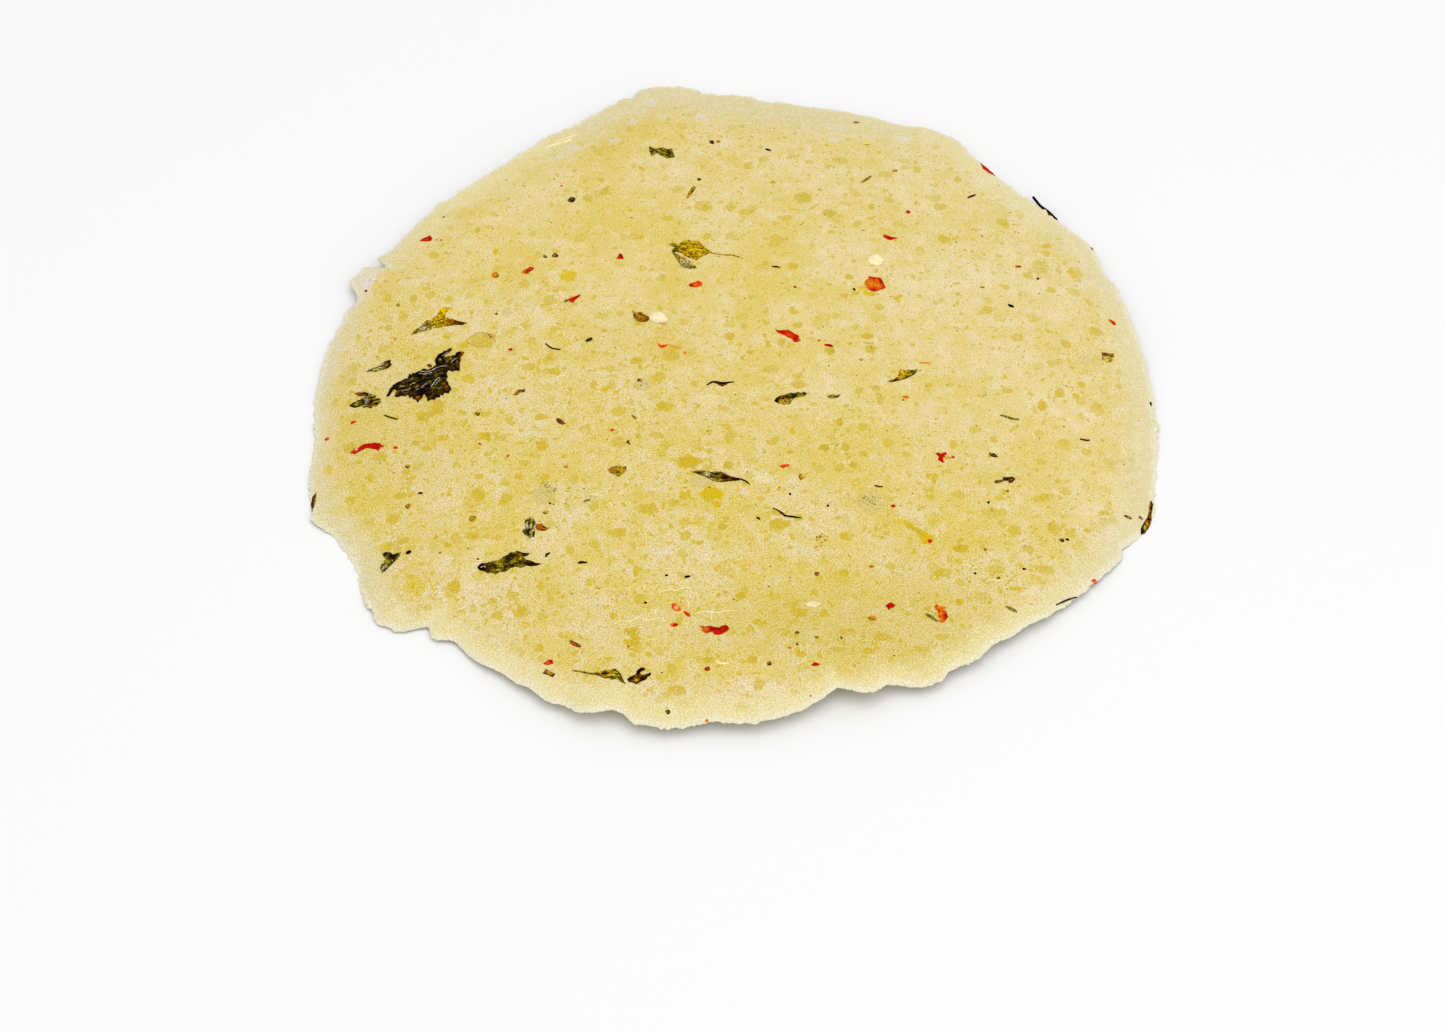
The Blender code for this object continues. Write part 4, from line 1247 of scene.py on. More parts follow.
# The outlined crumbs of spice
SPICE = (
    # The amber chunk beside the cream seed
    Flake(((632.5, 310.1), (633.4, 313), (633.8, 315.7), (634.2, 318.3), (637.2, 320.9), (641.5, 321.8),
        (646.7, 321.4), (648.9, 319.6), (648, 316.6), (644.1, 314.9), (641.5, 312.7), (639.4, 312.3),
        (637.2, 313.6), (635.5, 312.3)), (AMBER, AMBER, RUST, RUST, BROWN), 0.00024,
        (Dab((638, 316), 0.9, AMBER), Dab((647, 320), 0.4, BROWN), Dab((641, 318.6), 0.6, AMBER),
        Dab((643, 321), 0.4, RUST))),
    # The dark bark-like bit at the right, in two parts
    Flake(((994.5, 481.6), (997.5, 480.3), (1002.7, 479.9), (1005.7, 480.3), (1002.2, 481.6),
        (998.8, 482.9), (995.8, 483)), (BROWN, OLIVE, RUST), 0.00014, (Dab((995.8, 482), 0.4, BLACK),
        Dab((1001, 481), 0.5, OLIVE))),
    Flake(((1002.7, 480), (1003.5, 477.7), (1008.3, 477.5), (1012.6, 477.1), (1015, 479), (1013.5, 480.7),
        (1011.7, 482.5), (1008.3, 482.5), (1009.6, 480.9), (1005.7, 480.6)), (BLACK, BROWN, BROWN, BLACK),
        0.00018, (Dab((1011, 480.4), 0.3, RUST), Dab((1008, 478.6), 0.4, BLACK))),
    # The ridged chip near the front
    Flake(((542.9, 673.2), (546, 669.4), (551.1, 672.4), (555, 674.1), (552.7, 677.1), (548.5, 675),
        (545.1, 673.9)), (OLIVE, AMBER, OLIVE, OLIVE), 0.00012, (Dab((549, 673), 0.35, AMBER),
        Dab((546.4, 670.6), 0.3, DARK_GREEN), Dab((553.4, 675.6), 0.4, DARK_GREEN))),
    # The brown crust by the right rim, over a grey place
    Flake(((1101.8, 352.8), (1105, 353), (1109.6, 353.8), (1113.6, 354), (1113.4, 357.6), (1110.6, 356.4),
        (1106, 355.8), (1102.4, 356)), (RUST, BROWN, AMBER, RUST), 0.00014,
        (Dab((1105.4, 354.4), 0.4, BROWN),)),
    Flake(((1102.6, 357), (1106, 356.6), (1111, 357.2), (1112.4, 360), (1110, 362.6), (1105, 362),
        (1102.2, 360)), (ASH, HONEY, OLIVE), 0.0001, (Dab((1108, 359), 0.5, HONEY),), True),
    # The sliver near the front, red to orange
    Flake(((569.6, 640.6), (572.4, 641), (576, 643), (580, 645), (581.2, 647), (577.6, 646.8),
        (573.4, 645.4), (570.6, 643.2)), (BROWN, RUST, RUST, BROWN), 0.00014,
        (Dab((574.6, 643.4), 0.3, ORANGE_RED),)),
    # The ringed amber crumb in the middle
    Flake(((607.6, 469.8), (611, 467.2), (615.6, 466.6), (620, 465.6), (622.6, 467), (625.8, 466.4),
        (626.2, 469), (624.6, 472), (621.6, 474.2), (618.8, 476.6), (616, 475), (611.4, 473.4)),
        (GOLDEN, AMBER, GOLDEN, AMBER), 0.00008, (Dab((617.6, 472.2), 0.45, BROWN),
        Dab((625, 468), 0.35, RUST), Dab((610, 469.6), 0.3, RUST)), True),
    # The orange-gold sliver at the far side
    Flake(((694.4, 185.9), (695.6, 188), (692.4, 192.4), (689.6, 196), (687.6, 198.6), (686.8, 197),
        (689.4, 192), (692, 187.6)), (ORANGE, AMBER, GOLDEN)),
    Flake(((556, 418.8), (559, 418.4), (563, 421), (565.6, 423.8), (561.6, 424.4), (557.6, 422.4)),
        (RUST, BROWN, RUST)),
)

SPICE_BITS = (
    Bit((495, 275), 1.3, 1.7, (ORANGE, AMBER), 30.0), Bit((817, 574), 1.0, 1.1, (RUST,)),
    Bit((894.7, 170.6), 1.1, 0.8, (RUST, AMBER)), Bit((856, 122.6), 1.4, 0.8, (AMBER,)),
    Bit((866, 144.3), 1.3, 0.7, (YELLOW,)), Bit((408, 506.4), 1.1, 1.1, (RUST, AMBER)),
    Bit((801.4, 476.6), 1.3, 1.5, (RUST, AMBER, YELLOW)), Bit((699, 179.4), 0.9, 1.1, (RUST, BROWN)),
    Bit((711.8, 142.2), 0.9, 1.4, (BROWN, BROWN), 20.0), Bit((628, 442), 0.7, 0.9, (BROWN,)),
    Bit((773, 182), 1.2, 0.8, (YELLOW,)), Bit((861, 359.6), 1.1, 0.8, (YELLOW,), 10.0),
    Bit((982.2, 287), 0.8, 0.8, (YELLOW,), -20.0), Bit((1061.8, 540.4), 1.3, 0.9, (YELLOW,), -20.0),
    Bit((872.5, 618.2), 1.6, 0.9, (AMBER, ORANGE)), Bit((985.5, 549.3), 0.6, 0.6, (RUST,)),
    Bit((975.2, 573.5), 0.5, 0.5, (BROWN,)), Bit((998.7, 577.9), 0.7, 0.4, (RUST,)),
    Bit((1140.2, 517.7), 0.9, 0.8, (AMBER, RUST), -20.0), Bit((366.3, 290.6), 0.6, 0.6, (RUST,)),
    Bit((545.6, 512.2), 1.4, 1.0, (AMBER, YELLOW)), Bit((429.6, 366), 1.2, 0.9, (RUST, BROWN), -30.0),
    Bit((604, 331), 0.8, 0.8, (YELLOW,)), Bit((1007.6, 491), 0.5, 0.4, (RUST,)),
    Bit((566, 467), 1.0, 0.7, (AMBER,)), Bit((440, 553), 0.5, 0.5, (RUST,)),
    Bit((568, 487.6), 1.1, 0.8, (YELLOW,)), Bit((472.5, 518.7), 1.3, 1.4, (AMBER, GOLDEN)),
)

SEEDS = (
    Bit((657.9, 317.6), 3.3, 2.9, (CREAM,), -25.0), Bit((875.7, 260.6), 2.8, 3.1, (CREAM,), 70.0),
    Bit((812.6, 604.6), 2.4, 1.3, (STRAW,), 5.0),
)


@dataclass(frozen=True)
class Sprinkle:
    """A loose patch of grains: its pixel, its reach and the grains' width in millimetres, and how many."""

    pixel: Pixel
    reach: float
    count: int
    width: float
    tones: tuple[Tone, ...]


HERB_SPRINKLES = (
    Sprinkle((548, 487), 3.6, 26, 0.2, (BLACK, DARK_GREEN)),
    Sprinkle((643, 384), 1.8, 8, 0.18, (BLACK, OLIVE)), Sprinkle((735, 402), 2.2, 8, 0.16, (DARK_GREEN,)),
    Sprinkle((868, 500), 3.6, 26, 0.2, (HONEY, OLIVE, DUSTY)),
    Sprinkle((985, 395), 1.8, 8, 0.16, (DARK_GREEN,)),
    Sprinkle((618, 596), 3.0, 10, 0.16, (DARK_GREEN, OLIVE)),
)

SPICE_SPRINKLES = (
    Sprinkle((822, 538), 2.8, 18, 0.24, (RUST, FOXY, BROWN)),
    Sprinkle((818, 547), 1.6, 8, 0.3, (RUST, FOXY)), Sprinkle((900, 575), 3.0, 8, 0.24, (YELLOW, FOXY)),
    Sprinkle((680, 606), 2.0, 12, 0.22, (ORANGE_RED, ORANGE, FOXY)),
    Sprinkle((626, 594), 1.6, 6, 0.2, (RUST, FOXY)),
)

# Patches of short pale fibres: a pixel, and millimetres for their reach, and how many
FIBRE_PATCHES = (
    ((668, 592), 12.0, 26), ((640, 622), 10.0, 20), ((694, 606), 9.0, 14), ((600, 505), 9.0, 9),
    ((640, 455), 8.0, 7), ((960, 575), 9.0, 8), ((710, 400), 8.0, 7), ((560, 610), 8.0, 9),
    ((930, 500), 8.0, 6), ((820, 640), 9.0, 9), ((480, 620), 7.0, 8), ((390, 560), 6.0, 6),
)


class NodeBoard:
    """One material's shader nodes, added and wired by short calls. Lengths are in millimetres."""

    def __init__(self, name: str) -> None:
        """Starts a material with a Principled shader.

        Args:
            name: the material's name.
        """
        self.material = bpy.data.materials.new(name)
        self.material.use_nodes = True
        self.tree = self.material.node_tree
        self.shader = self.tree.nodes["Principled BSDF"]

    def add(self, kind: str, inputs: dict, **settings: object) -> bpy.types.Node:
        """Adds a node.

        Args:
            kind: the node's type, without its ShaderNode prefix.
            inputs: sockets to wire and values to set, by the input's name or number.
            settings: the node's own settings.

        Returns:
            The node.
        """
        node = self.tree.nodes.new("ShaderNode" + kind)
        for name, value in settings.items():
            setattr(node, name, value)
        for name, value in inputs.items():
            self.feed(node.inputs[name], value)
        return node

    def feed(self, socket: bpy.types.NodeSocket, value: object) -> None:
        """Wires a socket to another one, or sets its value.

        Args:
            socket: the input.
            value: an output socket, a number or a tuple.
        """
        if isinstance(value, bpy.types.NodeSocket):
            self.tree.links.new(value, socket)
        else:
            socket.default_value = value

    def set(self, **values: object) -> None:
        """Sets or wires the shader's own inputs, named with underscores for spaces.

        Args:
            values: the inputs and what they take.
        """
        for name, value in values.items():
            self.feed(self.shader.inputs[name.replace("_", " ")], value)

    def place(self) -> bpy.types.NodeSocket:
        """Gives the place on the piece, in millimetres."""
        spot = self.add("TexCoord", {})
        scale = 1.0 / MM
        return self.add("Mapping", {0: spot.outputs["Object"], 3: (scale, scale, scale)}).outputs[0]

    def attribute(self, name: str, output: str = "Fac") -> bpy.types.NodeSocket:
        """Reads one of the piece's attributes.

        Args:
            name: the attribute's name.
            output: Fac, Color or Vector.

        Returns:
            The output socket.
        """
        return self.add("Attribute", {}, attribute_name=name).outputs[output]

    def noise(self, place: object, length: float, detail: float = 2.0, rough: float = 0.5,
              output: str = "Fac") -> bpy.types.NodeSocket:
        """Adds a cloudy pattern.

        Args:
            place: the coordinates.
            length: the size of its clouds.
            detail: how many finer layers it has.
            rough: how strong they are.
            output: Fac or Color.

        Returns:
            The output socket, around 0.5.
        """
        inputs = {"Vector": place, "Scale": 1.0 / length, "Detail": detail, "Roughness": rough}
        return self.add("TexNoise", inputs, noise_dimensions="2D").outputs[output]

    def math(self, operation: str, first: object, second: object = 0.0,
             third: object = 0.0) -> bpy.types.NodeSocket:
        """Works out one sum.

        Args:
            operation: the Math node's operation.
            first: its first value.
            second: its second value.
            third: its third value.

        Returns:
            The result's socket.
        """
        node = self.add("Math", {0: first}, operation=operation)
        if len(node.inputs) > 1:
            self.feed(node.inputs[1], second)
        if len(node.inputs) > 2:
            self.feed(node.inputs[2], third)
        return node.outputs[0]

    def vector(self, operation: str, first: object,
               second: object = (0.0, 0.0, 0.0)) -> bpy.types.NodeSocket:
        """Works out one vector sum.

        Args:
            operation: the Vector Math node's operation.
            first: its first vector.
            second: its second vector, or the scale for SCALE.

        Returns:
            The result's socket.
        """
        if operation == "SCALE":
            node = self.add("VectorMath", {0: first, "Scale": second}, operation=operation)
        else:
            node = self.add("VectorMath", {0: first, 1: second}, operation=operation)
        return node.outputs["Value" if operation == "LENGTH" else "Vector"]

    def ease(self, value: object, start: float, end: float, low: float = 0.0,
             high: float = 1.0) -> bpy.types.NodeSocket:
        """Turns a value into a soft step.

        Args:
            value: what is read.
            start: where the step begins.
            end: where it is complete.
            low: the result before it.
            high: the result past it.

        Returns:
            The result's socket.
        """
        inputs = {0: value, 1: start, 2: end, 3: low, 4: high}
        return self.add("MapRange", inputs, interpolation_type="SMOOTHSTEP").outputs[0]

    def mix(self, factor: object, first: object, second: object, mode: str = "MIX") -> bpy.types.NodeSocket:
        """Mixes two colours.

        Args:
            factor: how much of the second there is.
            first: the first colour.
            second: the second colour.
            mode: the blend type.

        Returns:
            The colour's socket.
        """
        node = self.add("Mix", {}, data_type="RGBA", blend_type=mode, clamp_factor=True)
        self.feed(node.inputs[0], factor)
        for socket, colour in ((node.inputs[6], first), (node.inputs[7], second)):
            self.feed(socket, (*colour, 1.0) if isinstance(colour, tuple) else colour)
        return node.outputs[2]

    def bump(self, height: object, depth: float, strength: float = 1.0) -> None:
        """Roughens the shader's surface.

        Args:
            height: the relief, from 0 to 1.
            depth: its depth in metres.
            strength: how far it is felt.
        """
        inputs = {"Height": height, "Distance": depth, "Strength": strength}
        self.set(Normal=self.add("Bump", inputs).outputs[0])

    def product(self, first: object, *others: object) -> bpy.types.NodeSocket:
        """Multiplies values, one after another."""
        for other in others:
            first = self.math("MULTIPLY", first, other)
        return first

    def split(self, kind: str, value: object) -> Sequence[bpy.types.NodeSocket]:
        """Takes a Color or XYZ value apart into its three."""
        return self.add("Separate" + kind, {0: value}).outputs


class DoughBoard(NodeBoard):
    """The dough's nodes, with the coordinates that its patterns share and the colour laid so far."""

    # Half of X plus Y, in millimetres, where the disc counts as far and where it counts as near
    NEARNESS = (30.0, -45.0)

    def __init__(self, wobble: float, fine_wobble: float, grain_length: float) -> None:
        """Starts the dough's material.

        Args:
            wobble: how far the unsteady coordinates wander.
            fine_wobble: how far they shiver.
            grain_length: the size of the finest grain.
        """
        super().__init__("dough")
        self.here = self.place()
        drift, shiver = self.drift(1.9, 1.0, 0.5, wobble), self.drift(0.55, 2.0, 0.6, fine_wobble)
        self.unsteady = self.vector("ADD", self.vector("ADD", self.here, drift), shiver)
        self.rim = self.attribute("rim")
        self.grain = self.noise(self.here, grain_length, 4.0, 0.7)
        spread = self.split("XYZ", self.here)
        self.near = self.ease(self.math("MULTIPLY_ADD", spread[0], 0.5, spread[1]), *self.NEARNESS)
        self.colour: object = None

    def drift(self, length: float, detail: float, rough: float, reach: float) -> bpy.types.NodeSocket:
        """Gives a cloudy shift of the coordinates.

        Args:
            length: the size of its clouds.
            detail: how many finer layers it has.
            rough: how strong they are.
            reach: how far it shifts.

        Returns:
            The shift's socket.
        """
        clouds = self.noise(self.here, length, detail, rough, "Color")
        return self.vector("SCALE", self.vector("SUBTRACT", clouds, (0.5, 0.5, 0.5)), reach)

    def cells(self, cell: float, scatter: float) -> tuple:
        """Divides the dough into cells with a dot in each.

        Args:
            cell: their size.
            scatter: how far the dots are from an even grid, from 0 to 1.

        Returns:
            The distance from the nearest dot and that dot's three random numbers.
        """
        inputs = {"Vector": self.unsteady, "Scale": 1.0 / cell, "Randomness": scatter}
        dots = self.add("TexVoronoi", inputs, voronoi_dimensions="2D")
        away = self.math("MULTIPLY", dots.outputs["Distance"], cell)
        return away, self.split("Color", dots.outputs["Color"])

    def lay(self, factor: object, colour: object) -> None:
        """Lays a colour over what is there, as far as the factor says."""
        self.colour = self.mix(factor, self.colour, colour)


@dataclass(frozen=True)
class SpotLayer:
    """A scatter of see-through spots: one in each cell, sizes in millimetres."""

    cell: float
    smallest: float
    largest: float
    share: float
    strength: float
    softness: float


@dataclass(frozen=True)
class DoughFinish:
    """Dried dough: mottled cream, with olive gold spots, pale fibres, dark specks and a whiter rim, partly
    a painted glow of light through the thin edge; with painted shade on the back and side rims and painted
    highlights among the stains.
    """

    cream: Colour = (0.795, 0.640, 0.232)
    deep: Colour = (0.750, 0.580, 0.145)
    milky: Colour = (0.848, 0.720, 0.365)
    pale: Colour = (0.850, 0.725, 0.375)
    dim: Colour = (0.660, 0.520, 0.150)
    olive: Colour = (0.600, 0.460, 0.048)
    gold: Colour = (0.640, 0.450, 0.026)
    speck: Colour = (0.110, 0.080, 0.010)
    rim_cream: Colour = (0.825, 0.725, 0.385)
    # Painted shade: the darker, greyer rim where the sheet falls away at the back and sides
    rim_painted_shade: Colour = (0.750, 0.660, 0.400)
    # Partly the paler thin dough, partly a painted glow of light through the thin edge
    rim_white: Colour = (0.850, 0.800, 0.620)
    stains_and_highlights: tuple[Colour, ...] = (
        (0.600, 0.440, 0.043),
        (0.645, 0.440, 0.041),
        (0.700, 0.485, 0.012),
        (0.740, 0.460, 0.068),
        (0.620, 0.500, 0.170),
        (0.840, 0.705, 0.285),
        (0.765, 0.700, 0.420),
    )
    layers: tuple[SpotLayer, ...] = (
        SpotLayer(4.4, 0.32, 1.12, 0.70, 1.00, 0.05), SpotLayer(2.3, 0.16, 0.55, 0.70, 1.05, 0.035),
        SpotLayer(1.25, 0.09, 0.29, 0.60, 1.10, 0.03), SpotLayer(11.5, 1.10, 1.70, 0.40, 0.50, 0.20),
    )
    # The dark specks: the cells' size, the specks' own, their share of the cells and their strength
    specks: tuple[tuple[float, ...], ...] = ((2.4, 0.10, 0.42, 0.75), (1.1, 0.055, 0.35, 0.55))
    wobble: float = 1.5
    fine_wobble: float = 0.55
    cloud_length: float = 16.0
    mottle_length: float = 3.4
    grain_length: float = 0.34
    vein_length: float = 2.9
    crumb_length: float = 1.2
    yellowing: tuple[float, float] = (0.38, 0.60)
    usual_blue: float = 0.154
    stain_and_highlight_strength: float = 1.3
    relief: float = 0.00012

    def material(self) -> bpy.types.Material:
        """Makes the dough's material."""
        board = DoughBoard(self.wobble, self.fine_wobble, self.grain_length)
        mottle = board.noise(board.unsteady, self.mottle_length, 5.0, 0.60)
        self.lay_dough(board, mottle)
        self.lay_spots(board)
        self.lay_stains_and_highlights(board)
        self.lay_flecks(board)
        self.spread_blue(board)
        self.lay_rim(board)
        self.lay_grain(board)
        board.set(Base_Color=board.colour, Subsurface_Weight=0.10, Subsurface_Scale=0.0008,
                  Subsurface_Radius=(1.0, 0.75, 0.35), Specular_IOR_Level=0.15)
        board.set(Roughness=board.ease(mottle, 0.25, 0.75, 0.50, 0.64))
        fine = board.math("MULTIPLY", board.grain, 0.55)
        crumb = board.noise(board.here, self.crumb_length, 3.0, 0.55)
        board.bump(board.math("MULTIPLY_ADD", crumb, 0.9, fine), self.relief, 0.9)
        return board.material

    def lay_dough(self, board: DoughBoard, mottle: object) -> None:
        """Starts with the mottled dough and its broad washes.

        Args:
            board: the material's nodes.
            mottle: the mottling, around 0.5.
        """
        clouds = board.noise(board.here, self.cloud_length, 2.0, 0.5)
        wash = board.attribute("wash")
        board.colour = board.mix(board.ease(clouds, 0.30, 0.70), self.deep, self.cream)
        board.lay(board.ease(mottle, 0.46, 0.74, 0.0, 0.48), self.milky)
        board.lay(board.ease(mottle, 0.48, 0.25, 0.0, 0.60), self.deep)
        board.lay(board.product(wash, board.ease(mottle, 0.30, 0.70, 0.70, 1.30)), self.pale)
        board.lay(board.product(wash, -1.0), self.dim)

    def lay_spots(self, board: DoughBoard) -> None:
        """Adds the layers of see-through spots, more of them near the front and fewer at the rim."""
        inner = board.ease(board.rim, 0.8, 7.5, 0.25, 1.0)
        busy = board.math("MULTIPLY_ADD", board.near, 0.63, 0.82)
        grainy = board.ease(board.grain, 0.25, 0.75, 0.75, 1.1)
        for layer in self.layers:
            away, chance = board.cells(layer.cell, 0.95)
            size = board.math("POWER", chance[0], 1.7)
            radius = board.math("MULTIPLY_ADD", size, layer.largest - layer.smallest, layer.smallest)
            inside = board.math("SUBTRACT", radius, away)
            shape = board.ease(inside, -layer.softness, layer.softness)
            there = board.math("LESS_THAN", chance[1], board.product(busy, layer.share))
            strong = board.math("MULTIPLY_ADD", chance[2], 0.70 * layer.strength, 0.30 * layer.strength)
            # The spots' stronger edges stand partly for painted shade at the rims of shallow pits
            edge = board.ease(board.math("ABSOLUTE", inside), 3.0 * layer.softness, 0.0, 0.80, 1.12)
            tint = board.mix(chance[2], self.olive, self.gold)
            board.lay(board.product(shape, there, strong, edge, grainy, inner), tint)

    def lay_stains_and_highlights(self, board: DoughBoard) -> None:
        """Adds the larger stains and the painted highlights laid like them, whose places are on the sheet's
        vertices.
        """
        look = board.split("XYZ", board.attribute("stain_and_highlight_look", "Vector"))
        parts = board.split("XYZ", board.attribute("stain_and_highlight_place", "Vector"))
        flat = board.add("CombineXYZ", {0: parts[0], 1: parts[1]}).outputs[0]
        away = board.vector("LENGTH", board.vector("ADD", flat, board.drift(1.1, 4.0, 0.7, 1.5)))
        near = board.math("LESS_THAN", parts[2], 3.0)
        ramp = board.add("ValToRGB", {0: look[0]})
        ramp.color_ramp.interpolation = "CONSTANT"
        while len(ramp.color_ramp.elements) < len(self.stains_and_highlights):
            ramp.color_ramp.elements.new(0.5)
        for index, (element, stain) in enumerate(zip(ramp.color_ramp.elements, self.stains_and_highlights)):
            element.position = max(0.0, (index - 0.5) / (len(self.stains_and_highlights) - 1))
            element.color = (*stain, 1.0)
        cloudy = board.ease(board.noise(board.here, 0.7, 3.0, 0.6), 0.30, 0.62, 0.72, 1.0)
        shown = board.product(board.ease(away, 1.10, 0.88), near, look[1], cloudy, self.stain_and_highlight_strength)
        board.lay(board.math("MINIMUM", shown, 1.0), ramp.outputs[0])

    def lay_flecks(self, board: DoughBoard) -> None:
        """Adds the fine pale fibres and the dark specks."""
        vein = board.math("SUBTRACT", board.noise(board.here, self.vein_length, 1.0, 0.4), 0.5)
        line = board.ease(board.math("ABSOLUTE", vein), 0.012, 0.003)
        patchy = board.ease(board.noise(board.here, 5.5, 2.0, 0.5), 0.53, 0.62, 0.0, 0.45)
        board.lay(board.product(line, patchy), self.milky)
        for cell, size, share, strength in self.specks:
            away, chance = board.cells(cell, 1.0)
            radius = board.math("MULTIPLY_ADD", chance[0], size, 0.4 * size)
            shape = board.ease(board.math("SUBTRACT", radius, away), -0.03, 0.03)
            there = board.math("LESS_THAN", chance[1], share)
            board.lay(board.product(shape, there, chance[2], strength), self.speck)

    def spread_blue(self, board: DoughBoard) -> None:
        """Spreads the blue further than the rest, as yellow dough and whiter dough differ mostly in it."""
        parts = board.split("Color", board.colour)
        ratio = board.product(parts[2], 1.0 / self.usual_blue)
        power = board.ease(board.near, 0.0, 1.0, *self.yellowing)
        blue = board.product(board.math("POWER", ratio, power), parts[2])
        board.colour = board.add("CombineColor", {0: parts[0], 1: parts[1], 2: blue}).outputs[0]

    def lay_rim(self, board: DoughBoard) -> None:
        """Adds the paler outer band, with painted shade where the sheet falls away at the back and sides,
        and the whitish thin edge, partly a painted glow of light through it.
        """
        uneven = board.math("MULTIPLY_ADD", board.noise(board.here, 3.2, 4.0, 0.6), 5.0, -2.5)
        pale_band = board.attribute("pale_band")
        band = board.math("DIVIDE", board.math("ADD", board.rim, uneven), pale_band)
        # Painted shade: at the back, where the band is widest, and at the sides the band takes the darker,
        # greyer rim colour
        beside = board.math("ABSOLUTE", board.split("XYZ", board.here)[0])
        far = board.math("MAXIMUM", board.ease(pale_band, 7.5, 11.0), board.ease(beside, 50, 80))
        board.lay(board.ease(band, 1.25, 0.15, 0.0, 0.80), board.mix(far, self.rim_cream, self.rim_painted_shade))
        # The whitish rim colour: partly paler thin dough, partly a painted glow of light through the thin
        # edge
        frost = board.ease(board.noise(board.here, 1.5, 4.0, 0.65), 0.48, 0.66, 0.0, 0.30)
        board.lay(board.product(frost, board.ease(band, 1.3, 0.4)), self.rim_white)
        fray = board.math("MULTIPLY_ADD", board.noise(board.here, 0.9, 3.0, 0.6), 2.0, -1.0)
        board.lay(board.ease(board.math("ADD", board.rim, fray), 1.9, 0.1, 0.0, 0.80), self.rim_white)

    def lay_grain(self, board: DoughBoard) -> None:
        """Dapples the colour with the finest grain, less at the rim and away from the front."""
        shade = board.ease(board.grain, 0.22, 0.78, 0.67, 1.23)
        blue = board.ease(board.grain, 0.22, 0.78, 0.42, 1.40)
        dapple = board.add("CombineColor", {0: shade, 1: shade, 2: blue}).outputs[0]
        sandy = board.ease(board.near, 0.0, 1.0, 0.72, 1.0)
        sandy = board.product(sandy, board.ease(board.rim, 0.0, 9.0, 0.70, 1.0))
        board.lay(sandy, board.mix(1.0, board.colour, dapple, "MULTIPLY"))


@dataclass(frozen=True)
class FleckFinish:
    """A pressed-in bit whose pigment is on its vertices, mottled and partly dusted with dough."""

    name: str
    dust: Colour
    dusting: float
    mottle_length: float
    darkest: float
    lightest: float
    roughness: tuple[float, float]
    specular: float
    relief: float
    relief_length: float
    glow: float = 0.0

    def material(self) -> bpy.types.Material:
        """Makes the bit's material."""
        board = NodeBoard(self.name)
        place = board.place()
        pigment = board.attribute("pigment", "Color")
        mottle = board.noise(place, self.mottle_length, 4.0, 0.65)
        shade = board.ease(mottle, 0.36, 0.64, self.darkest, self.lightest)
        grey = board.add("CombineColor", {0: shade, 1: shade, 2: shade}).outputs[0]
        colour = board.mix(1.0, pigment, grey, "MULTIPLY")
        powder = board.noise(place, 0.33, 3.0, 0.7)
        colour = board.mix(board.ease(powder, 0.58, 0.68, 0.0, self.dusting), colour, self.dust)
        board.set(Base_Color=colour, Specular_IOR_Level=self.specular)
        board.set(Roughness=board.ease(mottle, 0.30, 0.70, *self.roughness))
        if self.glow:
            board.set(Subsurface_Weight=self.glow, Subsurface_Scale=0.0004,
                      Subsurface_Radius=(1.0, 0.4, 0.2))
        board.bump(board.noise(place, self.relief_length, 3.0, 0.6), self.relief, 0.8)
        return board.material


HERB_FINISH = FleckFinish(
    "herb", (0.50, 0.38, 0.10), 0.04, 0.42, 0.30, 1.64, (0.42, 0.66), 0.014, 0.00012, 0.40
)
CHILLI_FINISH = FleckFinish(
    "chilli", (0.80, 0.20, 0.01), 0.08, 0.50, 0.76, 1.14, (0.36, 0.55), 0.03, 0.00006, 0.4
)
SEED_FINISH = FleckFinish(
    "seed", (0.84, 0.62, 0.20), 0.25, 1.0, 0.86, 1.06, (0.36, 0.50), 0.25, 0.00003, 0.3, 0.20
)
SPICE_FINISH = FleckFinish(
    "spice", (0.76, 0.56, 0.12), 0.25, 0.50, 0.50, 1.40, (0.42, 0.62), 0.05, 0.00008, 0.4
)
FIBRE_FINISH = FleckFinish(
    "fibre", (0.95, 0.88, 0.62), 0.30, 0.8, 0.92, 1.05, (0.45, 0.60), 0.20, 0.00002, 0.3
)


@dataclass(frozen=True)
class FloorFinish:
    """A plain, pale studio floor."""

    colour: Colour = (0.90, 0.90, 0.90)
    roughness: float = 0.75

    def material(self) -> bpy.types.Material:
        """Makes the floor's material."""
        board = NodeBoard("floor")
        board.set(Base_Color=(*self.colour, 1.0), Roughness=self.roughness, Specular_IOR_Level=0.2)
        return board.material


